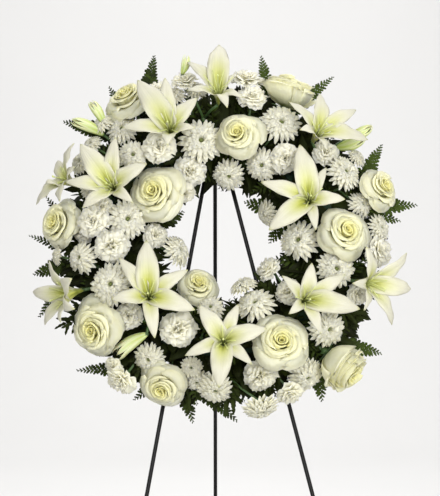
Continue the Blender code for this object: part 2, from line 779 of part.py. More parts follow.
def makeTray(material):
    inner = trayHalfWidth - trayWall
    outline = ((-trayHalfWidth, trayBack), (-trayHalfWidth, trayRim), (-inner, trayRim),
               (-inner, trayBack + trayWall), (inner, trayBack + trayWall), (inner, trayRim),
               (trayHalfWidth, trayRim), (trayHalfWidth, trayBack))
    return ringSolid("ring_tray", outline, material)


def makeFoam(material):
    half = foamHalfWidth
    outline = ((-half, foamBack), (-half, 2 * mm), (-0.5 * half, foamFront),
               (0.5 * half, foamFront), (half, 2 * mm), (half, foamBack))
    foam = ringSolid("foam_ring", outline, material)
    cutters = []
    for spine, way, radius in stemHoles:
        shell = Shell()
        low = shell.ring(circle(spine + way * (stemDepth - fitGap), way, radius + holeSlack, stemSides))
        high = shell.ring(circle(spine + way * 70 * mm, way, radius + holeSlack, stemSides))
        shell.cap(low)
        shell.band(low, high)
        shell.cap(list(reversed(high)))
        cutters.append(shell.build("hole", material))
    group = bpy.data.collections.new("holes")
    for cutter in cutters:
        bpy.context.scene.collection.objects.unlink(cutter)
        group.objects.link(cutter)
    cut = foam.modifiers.new("holes", "BOOLEAN")
    cut.operation = "DIFFERENCE"
    cut.operand_type = "COLLECTION"
    cut.collection = group
    cut.solver = "EXACT"
    bpy.context.view_layer.update()
    evaluated = foam.evaluated_get(bpy.context.evaluated_depsgraph_get())
    mesh = bpy.data.meshes.new_from_object(evaluated)
    foam.modifiers.clear()
    foam.data = mesh
    for cutter in list(group.objects):
        bpy.data.objects.remove(cutter, do_unlink=True)
    bpy.data.collections.remove(group)
    return foam


# Easel

rodSides = 12
legTopDrop = 25 * mm            # the front rods stop this far below the point where they'd meet
plateThick = 4 * mm
plateHalfWidth = 17 * mm
plateTop = 14 * mm              # above the hinge, along the wreath's plane
plateBottom = -38 * mm
hingeUp = apexUp - 18 * mm
plateBack = legPlane - rodRadius - fitGap - plateThick
hingeOut = plateBack - 9.5 * mm
pinRadius = 2 * mm
pinHole = 2.4 * mm
eyeHalf = 4.5 * mm              # half width and half depth of the back leg's flattened eye
earThick = 3 * mm
earGap = 0.4 * mm
hookRadius = 3 * mm


def rod(name, start, way, material, radius=rodRadius, end=None):
    """A straight round rod in world metres.  With no end it runs down to a flat foot on the floor."""
    way = way.normalized()
    first = way.orthogonal().normalized()
    second = way.cross(first)
    turns = [2 * pi * i / rodSides for i in range(rodSides)]
    top = [start + radius * (cos(t) * first + sin(t) * second) for t in turns]
    if end is None:
        foot = [p - way * (p.z / way.z) for p in top]
    else:
        foot = [p + (end - start) for p in top]
    n = rodSides
    faces = [(i, (i + 1) % n, n + (i + 1) % n, n + i) for i in range(n)]
    faces += [tuple(reversed(range(n))), tuple(range(n, 2 * n))]
    return addObject(name, top + foot, faces, material, smooth=True)


def block(name, centre, half, axes, material):
    """A box in world metres with its three unit axes."""
    verts = []
    for x in (-1, 1):
        for y in (-1, 1):
            for z in (-1, 1):
                verts.append(centre + axes[0] * x * half[0] + axes[1] * y * half[1]
                             + axes[2] * z * half[2])
    faces = [(0, 1, 3, 2), (4, 6, 7, 5), (0, 4, 5, 1), (2, 3, 7, 6), (0, 2, 6, 4), (1, 5, 7, 3)]
    return addObject(name, verts, faces, material)


def cutRound(thing, centre, axis, radius, length):
    """Bores a round hole through a solid."""
    cutter = rod("bore", centre - axis * length / 2, axis, None, radius, centre + axis * length / 2)
    cut = thing.modifiers.new("bore", "BOOLEAN")
    cut.operation = "DIFFERENCE"
    cut.object = cutter
    cut.solver = "EXACT"
    bpy.context.view_layer.update()
    evaluated = thing.evaluated_get(bpy.context.evaluated_depsgraph_get())
    mesh = bpy.data.meshes.new_from_object(evaluated)
    thing.modifiers.clear()
    thing.data = mesh
    bpy.data.objects.remove(cutter, do_unlink=True)


def makeFrontLegs(material):
    for name, spread in (("front_leg_left", -leftSpread), ("front_leg_right", rightSpread)):
        way = Vector((spread, -tan(lean), -1)).normalized()
        drop = legTopDrop / -way.z
        rod(name, apexWorld + way * drop, way, material)


def hingePoint():
    return wreathPoint((apexAcross, hingeUp, hingeOut))


def makeHead(material):
    axes = (rightFace, upFace, frontFace)
    centre = wreathPoint((apexAcross, hingeUp + (plateTop + plateBottom) / 2,
                          plateBack + plateThick / 2))
    plate = block("easel_head", centre, (plateHalfWidth, (plateTop - plateBottom) / 2,
                                         plateThick / 2), axes, material)
    parts = [plate]
    earDepth = plateBack + 1 * mm - (hingeOut - 6 * mm)
    for side in (-1, 1):
        middle = wreathPoint((apexAcross + side * (eyeHalf + earGap + earThick / 2), hingeUp,
                              plateBack + 1 * mm - earDepth / 2))
        parts.append(block("ear", middle, (earThick / 2, 6 * mm, earDepth / 2), axes, material))
    head = fuse("easel_head", parts, material)
    cutRound(head, hingePoint(), rightFace, pinHole, 40 * mm)


def makePin(material):
    half = eyeHalf + earGap + earThick + fitGap
    headThick = 1.5 * mm
    profile = ((-half - headThick, 3.6 * mm), (-half, 3.6 * mm), (-half, pinRadius), (half, pinRadius),
               (half, 3.6 * mm), (half + headThick, 3.6 * mm))
    verts, faces = [], []
    for across, radius in profile:
        for i in range(rodSides):
            turn = 2 * pi * i / rodSides
            verts.append(hingePoint() + rightFace * across + upFace * radius * cos(turn)
                         + frontFace * radius * sin(turn))
    n = rodSides
    for k in range(len(profile) - 1):
        for i in range(n):
            j = (i + 1) % n
            faces.append((k * n + i, k * n + j, (k + 1) * n + j, (k + 1) * n + i))
    last = (len(profile) - 1) * n
    faces += [tuple(reversed(range(n))), tuple(range(last, last + n))]
    addObject("hinge_pin", verts, faces, material, smooth=True)


def makeBackLeg(material):
    """Rod with a flattened eye; its heel meets the head's plate when the leg stands open."""
    down = Vector((0, sin(backLegAngle), -cos(backLegAngle)))
    back = Vector((0, cos(backLegAngle), sin(backLegAngle)))
    opened = backLegAngle + lean
    reachToPlate = (plateBack - hingeOut) - fitGap - eyeHalf * cos(opened)
    heel = reachToPlate / sin(opened)
    eyeLength = 30 * mm
    centre = hingePoint() - down * heel + down * eyeLength / 2
    eye = block("back_leg", centre, (eyeHalf, eyeHalf, eyeLength / 2), (rightFace, back, -down),
                material)
    shaft = rod("shaft", hingePoint() + down * (eyeLength - heel - 8 * mm), down, material)
    leg = fuse("back_leg", [eye, shaft], material)
    cutRound(leg, hingePoint(), rightFace, pinHole, 30 * mm)
    pivot = bpy.data.objects.new("back_leg_hinge", None)
    bpy.context.scene.collection.objects.link(pivot)
    pivot.location = hingePoint()
    bpy.context.view_layer.update()
    leg.parent = pivot
    leg.matrix_parent_inverse = pivot.matrix_world.inverted()


def makeHookBar(material):
    """One bent wire: a bar behind the front legs with two prongs that carry the tray."""
    seat = (ringRadius - trayHalfWidth) * cos(pi / ringSides) - fitGap - hookRadius
    drop = apexUp - seat
    barOut = legPlane - rodRadius - fitGap - hookRadius
    path = []
    for spread, side in ((-leftSpread, -1), (rightSpread, 1)):
        across = (apexAcross + spread * cos(lean) * drop
                  + side * (rodRadius + hookRadius + fitGap + 0.6 * mm))
        up = sqrt(seat ** 2 - across ** 2)
        prong = [(across, up, barOut), (across, up, 16 * mm), (across, up + 3 * mm, 20 * mm),
                 (across, up + 12 * mm, 21 * mm)]
        path = path + (prong[::-1] if side < 0 else prong)
    curve = bpy.data.curves.new("hook_bar", "CURVE")
    curve.dimensions = "3D"
    curve.bevel_depth = hookRadius
    curve.bevel_resolution = 2
    curve.use_fill_caps = True
    spline = curve.splines.new("POLY")
    spline.points.add(len(path) - 1)
    for spot, place in zip(spline.points, path):
        spot.co = (*wreathPoint(place), 1)
    thing = bpy.data.objects.new("hook_bar", curve)
    thing.data.materials.append(material)
    bpy.context.scene.collection.objects.link(thing)


def standOnOrigin():
    """Moves the whole piece so that the origin is under the middle of it, on the floor."""
    bpy.context.view_layer.update()
    graph = bpy.context.evaluated_depsgraph_get()
    corners = []
    for thing in bpy.context.scene.objects:
        if thing.type != "EMPTY":
            shape = thing.evaluated_get(graph)
            mesh = shape.to_mesh()
            corners += [thing.matrix_world @ v.co for v in mesh.vertices]
            shape.to_mesh_clear()
    low = Vector([min(c[i] for c in corners) for i in range(3)])
    high = Vector([max(c[i] for c in corners) for i in range(3)])
    shift = Vector((-(low.x + high.x) / 2, -(low.y + high.y) / 2, -low.z))
    for thing in bpy.context.scene.objects:
        if thing.parent is None:
            thing.location += shift


def main():
    clearScene()
    satinBlack = finish("satin_black_steel", (0.012, 0.012, 0.013), 0.38, 0.6)
    zinc = finish("zinc_pin", (0.45, 0.45, 0.46), 0.35, 1.0)
    trayGreen = finish("tray_plastic", (0.02, 0.07, 0.035), 0.5)
    foamGreen = finish("floral_foam", (0.03, 0.10, 0.04), 0.95)
    fern = finish("fern_green", (0.03, 0.10, 0.02), 0.6)
    lily = finish("lily_petal", (0.86, 0.85, 0.74), 0.5)
    rose = finish("rose_petal", (0.86, 0.84, 0.55), 0.5)
    mum = finish("chrysanthemum_petal", (0.85, 0.86, 0.80), 0.6)
    carnation = finish("carnation_petal", (0.84, 0.86, 0.80), 0.65)
    makeFrontLegs(satinBlack)
    makeHead(satinBlack)
    makePin(zinc)
    makeBackLeg(satinBlack)
    makeHookBar(satinBlack)
    makeTray(trayGreen)
    makeRoses(rose)
    makeSprays(mums, mumShell, mum, 2.6 * mm)
    makeSprays(carnations, carnationShell, carnation, 2.4 * mm)
    makeLilies(lily)
    makeFerns(fern)
    makeFoam(foamGreen)
    standOnOrigin()


main()
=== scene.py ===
# A standing funeral wreath of white flowers on a folding rod easel.
# Flowers are laid out in the wreath's own axes, in millimetres: across to the viewer's right,
# up the leaning wreath, and out towards the viewer. place() turns them into metres in the room.
from math import atan2, cos, hypot, pi, radians, sin, sqrt

import bpy
import numpy as np
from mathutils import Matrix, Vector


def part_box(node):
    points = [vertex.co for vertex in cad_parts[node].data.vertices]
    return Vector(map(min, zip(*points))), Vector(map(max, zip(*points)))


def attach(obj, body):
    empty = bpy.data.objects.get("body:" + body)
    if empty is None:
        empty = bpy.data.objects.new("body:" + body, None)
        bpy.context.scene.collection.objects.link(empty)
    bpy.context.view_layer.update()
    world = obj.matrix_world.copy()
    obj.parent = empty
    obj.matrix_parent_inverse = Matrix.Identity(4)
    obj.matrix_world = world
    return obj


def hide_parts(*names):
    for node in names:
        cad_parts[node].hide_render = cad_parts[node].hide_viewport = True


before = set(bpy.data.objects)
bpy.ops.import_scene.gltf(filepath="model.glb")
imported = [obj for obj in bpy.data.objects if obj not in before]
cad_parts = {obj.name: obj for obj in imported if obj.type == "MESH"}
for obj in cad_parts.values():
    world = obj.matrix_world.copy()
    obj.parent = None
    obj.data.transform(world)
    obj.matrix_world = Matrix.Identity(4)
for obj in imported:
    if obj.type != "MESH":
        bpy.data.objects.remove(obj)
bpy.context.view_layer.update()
print("frame loaded")

wreath = {
    "lean": radians(12),
    "ringRadius": 187,  # centre line of the foam ring
    "facesOut": 100,  # the flowers' faces
    "middleOut": 60,  # the point seen as the middle of the wreath
    "eyeDistance": 3000,  # from the flowers' faces
    "eyeDrop": 17.5,
    "eyeLeft": 1.75,
    "widestSwing": radians(68),
    "forkHeight": 52,  # where a spray branches, from the ring's centre line
    "stemDepth": 20,
    "leafDepth": 33,  # where leaves start, from the ring's centre line
    "pinAcross": -11,  # the easel's hinge pin
    "pinUp": 223,
    "pinOut": -57.6,
}

lean = wreath["lean"]
rightWay = np.array((1.0, 0, 0))
upWay = np.array((0, sin(lean), cos(lean)))
outWay = np.array((0, -cos(lean), sin(lean)))
pinLow, pinHigh = (np.array(corner) * 1000 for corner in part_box("hinge_pin"))
wreathCentre = ((pinLow + pinHigh) / 2 - wreath["pinAcross"] * rightWay
                - wreath["pinUp"] * upWay - wreath["pinOut"] * outWay)
outAxis = np.array((0.0, 0, 1))


def place(points):
    points = np.asarray(points, float)
    return (wreathCentre + points[..., 0:1] * rightWay + points[..., 1:2] * upWay
            + points[..., 2:3] * outWay) / 1000


def unit(vector):
    return vector / np.linalg.norm(vector)


def squareTo(vector, way):
    return unit(vector - vector.dot(way) * way)


def outward(point):
    return unit(np.array((point[0], point[1], 0.0)))


def smooth(low, high, value):
    t = np.clip((value - low) / (high - low), 0, 1)
    return t * t * (3 - 2 * t)


def bezier(p0, p1, p2, p3, t):
    s = 1 - t
    return p0 * s ** 3 + 3 * p1 * s * s * t + 3 * p2 * s * t * t + p3 * t ** 3


def seenPoint(across, up, forward):
    far = wreath["eyeDistance"]
    deep = far - (forward - wreath["facesOut"]) * cos(lean)
    seen = up + wreath["eyeDrop"]
    level = (forward - wreath["middleOut"]) * sin(lean) + wreath["eyeDrop"]
    trueUp = (seen * deep - far * level) / (far * cos(lean) - seen * sin(lean))
    left = wreath["eyeLeft"]
    trueAcross = (across + left) * (deep + trueUp * sin(lean)) / far - left
    return np.array((trueAcross, trueUp, forward))


def headPlace(across, up, lift):
    forward = lift
    for _ in range(6):
        spot = seenPoint(across, up, forward)
        beyond = hypot(spot[0], spot[1]) - wreath["ringRadius"]
        height = max(lift, abs(beyond) / sin(wreath["widestSwing"]))
        forward = sqrt(height ** 2 - beyond ** 2)
    radial = outward(spot)
    return radial * (wreath["ringRadius"] + beyond) + outAxis * forward


def facing(centre, tilt, heading=None):
    flat = outward(centre)
    if heading is not None:
        flat = np.array((cos(radians(heading)), sin(radians(heading)), 0))
    return flat * sin(radians(tilt)) + outAxis * cos(radians(tilt))


def sideways(axis, roll=0.0):
    up = np.array((0.0, 1, 0)) if abs(axis[1]) < 0.9 else np.array((1.0, 0, 0))
    first = squareTo(up, axis)
    second = np.cross(axis, first)
    return first * cos(roll) + second * sin(roll), second * cos(roll) - first * sin(roll)


def nearestSpine(point):
    return outward(point) * wreath["ringRadius"]


# A wire is one socket, so shader maths reads as sums. A finish builds one material.

class Wire:
    def __init__(self, finish, socket):
        self.finish, self.socket = finish, socket

    def maths(self, operation, *terms):
        values = dict(enumerate(terms))
        return self.finish.node("ShaderNodeMath", {"operation": operation}, values)

    def __add__(self, other):
        return self.maths("ADD", self, other)

    def __sub__(self, other):
        return self.maths("SUBTRACT", self, other)

    def __rsub__(self, other):
        return self.maths("SUBTRACT", other, self)

    def __mul__(self, other):
        return self.maths("MULTIPLY", self, other)

    __radd__ = __add__
    __rmul__ = __mul__

    def __truediv__(self, other):
        return self.maths("DIVIDE", self, other)

    def __abs__(self):
        return self.maths("ABSOLUTE", self)

    def sine(self):
        return self.maths("SINE", self)

    def clamped(self):
        return self.maths("MINIMUM", self.maths("MAXIMUM", self, 0.0), 1.0)

    def ramp(self, low, high):
        t = ((self - low) / (high - low)).clamped()
        return t * t * (3.0 - 2.0 * t)


class Finish:
    def __init__(self, name, **sockets):
        self.material = bpy.data.materials.new(name)
        self.material.use_nodes = True
        self.tree = self.material.node_tree
        self.shader = self.tree.nodes["Principled BSDF"]
        for socket, value in sockets.items():
            self.shader.inputs[socket.replace("_", " ")].default_value = value

    def node(self, kind, settings, values, output=0):
        node = self.tree.nodes.new(kind)
        for key, value in settings.items():
            setattr(node, key, value)
        for key, value in values.items():
            if isinstance(value, Wire):
                self.tree.links.new(value.socket, node.inputs[key])
            elif isinstance(value, tuple) and len(node.inputs[key].default_value) == 4:
                node.inputs[key].default_value = (*value, 1)
            else:
                node.inputs[key].default_value = value
        return Wire(self, node.outputs[output])

    def split(self, source):
        first = self.node("ShaderNodeSeparateXYZ", {}, {0: source})
        return [Wire(self, first.socket.node.outputs[i]) for i in range(3)]

    def petalPlace(self):
        u, v, _ = self.split(self.node("ShaderNodeUVMap", {"uv_map": "UVMap"}, {}))
        return (u - 0.5) * 2.0, v

    def tone(self):
        return self.split(self.node("ShaderNodeAttribute", {"attribute_name": "tone"}, {}))

    def mix(self, factor, first, second, how="MIX"):
        return self.node("ShaderNodeMix", {"data_type": "RGBA", "blend_type": how},
                         {0: factor, 6: first, 7: second}, 2)

    def where(self, stretch=(1.0, 1.0, 1.0)):
        spot = self.node("ShaderNodeTexCoord", {}, {}, 3)
        return self.node("ShaderNodeMapping", {}, {"Vector": spot, "Scale": stretch})

    def noise(self, scale, detail=3.0, stretch=(1.0, 1.0, 1.0)):
        return self.node("ShaderNodeTexNoise", {},
                         {"Vector": self.where(stretch), "Scale": scale, "Detail": detail})

    def feed(self, socket, wire):
        self.tree.links.new(wire.socket, self.shader.inputs[socket])

    def paint(self, colour, level):
        shade = self.node("ShaderNodeCombineXYZ", {}, {0: level, 1: level, 2: level})
        self.feed("Base Color", self.mix(1.0, colour, shade, "MULTIPLY"))

    def bump(self, height, depth, strength=1.0):
        self.feed("Normal", self.node("ShaderNodeBump", {}, {
            "Height": height, "Distance": depth, "Strength": strength}))


tints = {
    "lily": ((0.55, 0.535, 0.425), (0.46, 0.48, 0.09), (0.13, 0.15, 0.02)),  # tepal, stripe, throat
    "bud": ((0.70, 0.72, 0.44), (0.42, 0.52, 0.11)),
    "rose": ((0.94, 0.91, 0.57), (0.95, 0.89, 0.30), (0.80, 0.80, 0.28)),  # outer, heart, base; the base is partly painted shade
    # mum and carnation: outer, heart, and a darker yellow-green base, partly the petals' own colour
    # and partly painted shade in the flower's middle
    "mum": ((0.875, 0.835, 0.60), (0.875, 0.835, 0.60), (0.74, 0.71, 0.34)),
    "carnation": ((0.865, 0.83, 0.63), (0.865, 0.83, 0.63), (0.78, 0.76, 0.35)),
    "mumEye": ((0.05, 0.07, 0.015), (0.16, 0.19, 0.05)),
    "stem": ((0.03, 0.07, 0.02), (0.07, 0.13, 0.035)),
    "thread": ((0.42, 0.48, 0.12), (0.66, 0.69, 0.32)),
    "fern": ((0.007, 0.010, 0.001), (0.042, 0.066, 0.008)),
    # filler leaves: near-black, partly the foliage's own dark green and partly painted shade in the
    # gaps between the flowers
    "leaf": ((0.005, 0.005, 0.001), (0.022, 0.031, 0.005)),
    "steel": ((0.002, 0.002, 0.002), (0.006, 0.006, 0.006)),
    "zinc": ((0.42, 0.42, 0.43), (0.60, 0.60, 0.58)),
    "foam": ((0.006, 0.020, 0.009), (0.012, 0.036, 0.016)),
    "tray": ((0.010, 0.040, 0.020), (0.018, 0.060, 0.030)),
}


def petalFinish(name, kind, baseAndShadeReach, roughness, depth):
    outer, inner, base = tints[kind]
    f = Finish(name, Roughness=roughness, Subsurface_Weight=0.6, Subsurface_Scale=depth,
               Subsurface_Radius=(1.0, 0.9, 0.6), Sheen_Weight=0.06, Specular_IOR_Level=0.28)
    across, along = f.petalPlace()
    chance, layer, tint = f.tone()
    colour = f.mix(layer.ramp(0.05, 0.95), outer, inner)
    # towards each petal's base the colour goes darker yellow-green, partly the flower's own colour and
    # partly painted shade in its middle; a head's tint takes in more of the same base colour
    colour = f.mix((1.0 - along.ramp(0.0, baseAndShadeReach)) * 0.75, colour, base)
    colour = f.mix(tint, colour, base)
    f.paint(colour, f.noise(90.0) * 0.10 + chance * 0.10 + 0.86)
    veins = (across * 30.0 + f.noise(60.0) * 3.0).sine()
    f.bump(veins * 0.5 + f.noise(260.0) * 0.6, 0.00022, 0.5)
    return f.material


def lilyFinish():
    white, green, throat = tints["lily"]
    f = Finish("lilyTepal", Roughness=0.42, Subsurface_Weight=0.12, Subsurface_Scale=0.004,
               Subsurface_Radius=(1.0, 0.95, 0.6), Sheen_Weight=0.05, Specular_IOR_Level=0.32)
    across, along = f.petalPlace()
    chance, _, tint = f.tone()
    stripe = (1.0 - abs(across).ramp(0.10, 1.15)) * (1.0 - along.ramp(0.22, 0.78))
    stripe = (stripe * (0.85 + tint * 0.5)).clamped()
    colour = f.mix(stripe, white, green)
    groove = (1.0 - abs(across).ramp(0.02, 0.22)) * (1.0 - along.ramp(0.22, 0.50))
    colour = f.mix(groove * 0.6, colour, throat)
    lines = (across * 15.0).sine().ramp(0.1, 0.9) * (1.0 - along.ramp(0.20, 0.44))
    colour = f.mix(lines * 0.45, colour, throat)
    colour = f.mix((1.0 - along.ramp(0.12, 0.27)) * 0.85, colour, throat)
    colour = f.mix(along.ramp(0.93, 1.0) * 0.5, colour, green)
    f.paint(colour, f.noise(70.0) * 0.08 + chance * 0.08 + 0.88)
    f.bump((across * 26.0).sine() * 0.6 + f.noise(220.0) * 0.7, 0.0003, 0.55)
    return f.material


def budFinish():
    f = Finish("lilyBud", Roughness=0.42, Subsurface_Weight=0.1, Subsurface_Scale=0.004,
               Specular_IOR_Level=0.3)
    across, along = f.petalPlace()
    chance, _, tint = f.tone()
    rib = 1.0 - abs(across).ramp(0.05, 0.60)
    green = rib * 0.45 + (1.0 - along.ramp(0.05, 0.75)) * 0.5 + tint * 0.45 - 0.15
    green = (green + f.noise(60.0) * 0.2 - 0.1).clamped()
    f.paint(f.mix(green, *tints["bud"]), chance * 0.10 + 0.90)
    f.bump((across * 22.0).sine() * 0.5 + f.noise(220.0) * 0.6, 0.0003, 0.5)
    return f.material


def plainFinish(name, kind, scale, depth, roughness):
    f = Finish(name, Roughness=roughness)
    chance = f.tone()[0]
    spots = f.noise(scale)
    f.feed("Base Color", f.mix((spots * 0.8 + chance * 0.6 - 0.2).clamped(), *tints[kind]))
    f.bump(spots, depth, 0.5)
    return f.material


def leafFinish(name, kind, roughness):
    dark, light = tints[kind]
    f = Finish(name, Roughness=roughness, Specular_IOR_Level=0.10)
    across, along = f.petalPlace()
    chance, _, tint = f.tone()
    rib = 1.0 - abs(across).ramp(0.0, 0.16)
    colour = f.mix((chance * 0.7 + tint + f.noise(80.0) * 0.4 - 0.15).clamped(), dark, light)
    f.feed("Base Color", f.mix(rib * 0.4, colour, light))
    veins = (along * 46.0 + abs(across) * 9.0).sine() * (1.0 - rib)
    f.bump(veins * 0.4 - rib, 0.0004, 0.5)
    return f.material


def metalFinish(name, kind, roughness, metallic):
    f = Finish(name, Metallic=metallic, Specular_IOR_Level=0.22 + 0.28 * metallic)
    streaks = f.noise(14.0, 5.0, (1.0, 1.0, 0.08))
    pits = f.noise(320.0, 2.0)
    f.feed("Base Color", f.mix(streaks.ramp(0.45, 0.75) * 0.5, *tints[kind]))
    f.feed("Roughness", streaks * 0.12 + pits * 0.06 + (roughness - 0.09))
    f.bump(pits, 0.00008, 0.35)
    return f.material


def foamFinish():
    f = Finish("wetFloralFoam", Roughness=0.95)
    pores = f.node("ShaderNodeTexVoronoi", {}, {"Vector": f.where(), "Scale": 900.0})
    f.feed("Base Color", f.mix(f.noise(45.0), *tints["foam"]))
    f.bump(pores, 0.0006, 0.8)
    return f.material


def trayFinish():
    f = Finish("trayPlastic", Specular_IOR_Level=0.45)
    grain = f.noise(500.0, 2.0)
    f.feed("Base Color", f.mix(f.noise(9.0), *tints["tray"]))
    f.feed("Roughness", 0.42 + grain * 0.16)
    f.bump(grain, 0.00012, 0.5)
    return f.material


looks = {
    "lily": lilyFinish(),
    "bud": budFinish(),
    "rose": petalFinish("rosePetal", "rose", 0.6, 0.45, 0.014),
    "mum": petalFinish("chrysanthemumPetal", "mum", 0.5, 0.5, 0.008),
    "carnation": petalFinish("carnationPetal", "carnation", 0.75, 0.55, 0.008),
    "mumEye": plainFinish("chrysanthemumEye", "mumEye", 400.0, 0.0004, 0.7),
    "stem": plainFinish("greenStem", "stem", 120.0, 0.0003, 0.5),
    "thread": plainFinish("lilyFilament", "thread", 120.0, 0.0001, 0.4),
    "fern": leafFinish("leatherleafFern", "fern", 0.45),
    "leaf": leafFinish("darkFoliageAndShade", "leaf", 0.65),
    "steel": metalFinish("satinBlackRod", "steel", 0.34, 0.0),
    "zinc": metalFinish("zincPin", "zinc", 0.34, 1.0),
    "foam": foamFinish(),
    "tray": trayFinish(),
}
print("finishes made")


def switchTo(mode):
    bpy.ops.object.mode_set(mode=mode)


def deselectAll():
    if bpy.context.object and bpy.context.object.mode != "OBJECT":
        switchTo("OBJECT")
    bpy.ops.object.select_all(action="DESELECT")


def linked(name, data):
    item = bpy.data.objects.new(name, data)
    bpy.context.scene.collection.objects.link(item)
    return item


def applied(kind, **settings):
    piece = bpy.context.object
    modifier = piece.modifiers.new("shape", kind)
    for key, value in settings.items():
        setattr(modifier, key, value)
    bpy.ops.object.modifier_apply(modifier="shape")


# A blank is a flat petal with a wall, cut from a grid. shaped() bends it over a surface
# given as a function of u, -1 to 1 across the petal, and v, 0 to 1 along it.

class Blank:
    def __init__(self, columns, rows):
        deselectAll()
        bpy.ops.mesh.primitive_grid_add(x_subdivisions=columns, y_subdivisions=rows, size=2)
        sheet = bpy.context.object
        applied("SOLIDIFY", thickness=0.02, offset=0)
        spots = np.zeros(len(sheet.data.vertices) * 3)
        sheet.data.vertices.foreach_get("co", spots)
        spots = spots.reshape(-1, 3)
        self.u = spots[:, 0]
        self.v = (spots[:, 1] + 1) / 2
        self.side = np.sign(spots[:, 2])
        self.quads = np.array([list(face.vertices) for face in sheet.data.polygons])
        self.uvs = np.stack(((self.u + 1) / 2, self.v), axis=1)[self.quads.reshape(-1)]
        bpy.data.objects.remove(sheet)

    def shaped(self, surface, thickness):
        step = 0.01
        u, v = self.u, self.v
        du = surface(np.minimum(u + step, 1), v) - surface(np.maximum(u - step, -1), v)
        dv = surface(u, np.minimum(v + step, 1)) - surface(u, np.maximum(v - step, 0))
        normal = np.cross(du, dv)
        normal /= np.maximum(np.linalg.norm(normal, axis=1, keepdims=True), 1e-9)
        return surface(u, v) + normal * self.side[:, None] * thickness / 2


# A pile gathers petals and tubes into one mesh. tone is (chance, layer, tint) for the finish.

class Pile:
    def __init__(self):
        self.parts = []
        self.count = 0

    def add(self, points, quads, uvs, tone, slot):
        tones = np.broadcast_to(tone, (len(points), 4))
        slots = np.broadcast_to(slot, len(quads))
        self.parts.append((points, quads + self.count, uvs, tones, slots))
        self.count += len(points)

    def petal(self, blank, surface, thickness, tone, slot=0):
        self.add(blank.shaped(surface, thickness), blank.quads, blank.uvs, (*tone, 1.0), slot)

    def tube(self, path, radii, slot=1, sides=6, lobes=0.0):
        path = np.asarray(path, float)
        count = len(path)
        radii = np.broadcast_to(np.asarray(radii, float), (count,))
        ways = np.gradient(path, axis=0)
        first = sideways(unit(ways[0]))[0]
        turns = 2 * pi * np.arange(sides) / sides
        lobed = (1 - lobes * (0.5 - 0.5 * np.cos(3 * turns)))[:, None]
        rings = []
        for spot, way, radius in zip(path, ways, radii):
            way = unit(way)
            first = squareTo(first, way)
            second = np.cross(way, first)
            ring = np.cos(turns)[:, None] * first + np.sin(turns)[:, None] * second
            rings.append(spot + radius * lobed * ring)
        quads, uvs = [], []
        for k in range(count - 1):
            low, high = k / (count - 1), (k + 1) / (count - 1)
            near, far = k * sides, (k + 1) * sides
            for i in range(sides):
                j = (i + 1) % sides
                left, right = i / sides, (i + 1) / sides
                quads.append((near + i, near + j, far + j, far + i))
                uvs += [(left, low), (right, low), (right, high), (left, high)]
        last = (count - 1) * sides
        for i in range(1, sides - 1, 2):
            quads += [(i + 2, i + 1, i, 0), (last, last + i, last + i + 1, last + i + 2)]
            uvs += [(0.5, 0.0)] * 4 + [(0.5, 1.0)] * 4
        self.add(np.concatenate(rings), np.array(quads), np.array(uvs), (0.5, 0.5, 0.0, 1.0), slot)

    def joined(self):
        return [np.concatenate([part[i] for part in self.parts]) for i in range(5)]


def addPiece(name, pile, finishes, slotName, *nodes):
    points, quads, uvs, tones, slots = pile.joined()
    mesh = bpy.data.meshes.new(name)
    mesh.from_pydata(place(points).tolist(), [], quads.tolist())
    mesh.uv_layers.new(name="UVMap").data.foreach_set("uv", uvs.reshape(-1))
    tone = mesh.color_attributes.new("tone", "FLOAT_COLOR", "POINT")
    tone.data.foreach_set("color", tones.reshape(-1))
    for finish in finishes:
        mesh.materials.append(looks[finish])
    mesh.polygons.foreach_set("material_index", slots.astype(np.int32))
    mesh.shade_smooth()
    mesh.update()
    piece = linked(name, mesh)
    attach(piece, "root")
    if nodes:
        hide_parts(*nodes)


def camel(name):
    words = name.split("_")
    return words[0] + "".join(word.capitalize() for word in words[1:])


# Stems: one head straight from the foam, or several on branches of one stem

def addStems(pile, bases, radius, branchRadius):
    middle = sum(bases) / len(bases)
    spine = nearestSpine(middle)
    way = unit(middle - spine)
    low = spine + way * wreath["stemDepth"]
    if len(bases) == 1:
        pile.tube([low, (low + bases[0]) / 2, bases[0]], radius, 1, 8)
        return
    fork = spine + way * wreath["forkHeight"]
    pile.tube([low, fork - way * 4, fork + way * 3], [radius, radius, radius * 1.4], 1, 8)
    for base in bases:
        run = base - fork
        bow = fork + run * 0.5 + way * np.linalg.norm(run) * 0.06
        pile.tube([fork - unit(run), bow, base], branchRadius)


def headFrame(across, up, radius, lift, tilt, roll=0, heading=None):
    centre = headPlace(across, up, lift)
    axis = facing(centre, tilt, heading)
    return centre, radius, axis, *sideways(axis, radians(roll))


def setFlower(pile, model, head, shape, chance, tint):
    centre, radius, axis, first, second = headFrame(*head)
    size = radius * shape["fullness"]
    points, quads, uvs, tones, slots = model
    bent = points + 0.018 * np.sin(points[:, [1, 2, 0]] * 4.5 + chance.uniform(0, 2 * pi, 3))
    bent = bent * (1 + chance.uniform(-0.04, 0.04, 3))
    tones = tones.copy()
    tones[:, 2] = tint
    pile.add(centre + size * (bent[:, :1] * first + bent[:, 1:2] * second + bent[:, 2:] * axis),
             quads, uvs, tones, slots)
    return centre - axis * radius * shape["drop"]


# A point of a flower whose axis is z: radius and height at this turn, moved aside and ahead

def ringed(radius, height, turn, aside=0.0, ahead=0.0):
    return np.stack((radius * np.cos(turn) - aside * np.sin(turn),
                     radius * np.sin(turn) + aside * np.cos(turn), height + ahead), axis=1)


def addCores(pile, cores):
    for heights, radii, slot, sides in cores:
        pile.tube([(0, 0, height) for height in heights], radii, slot, sides)


# Petals of one open head, ring by ring, about the z axis and with a radius of about 1

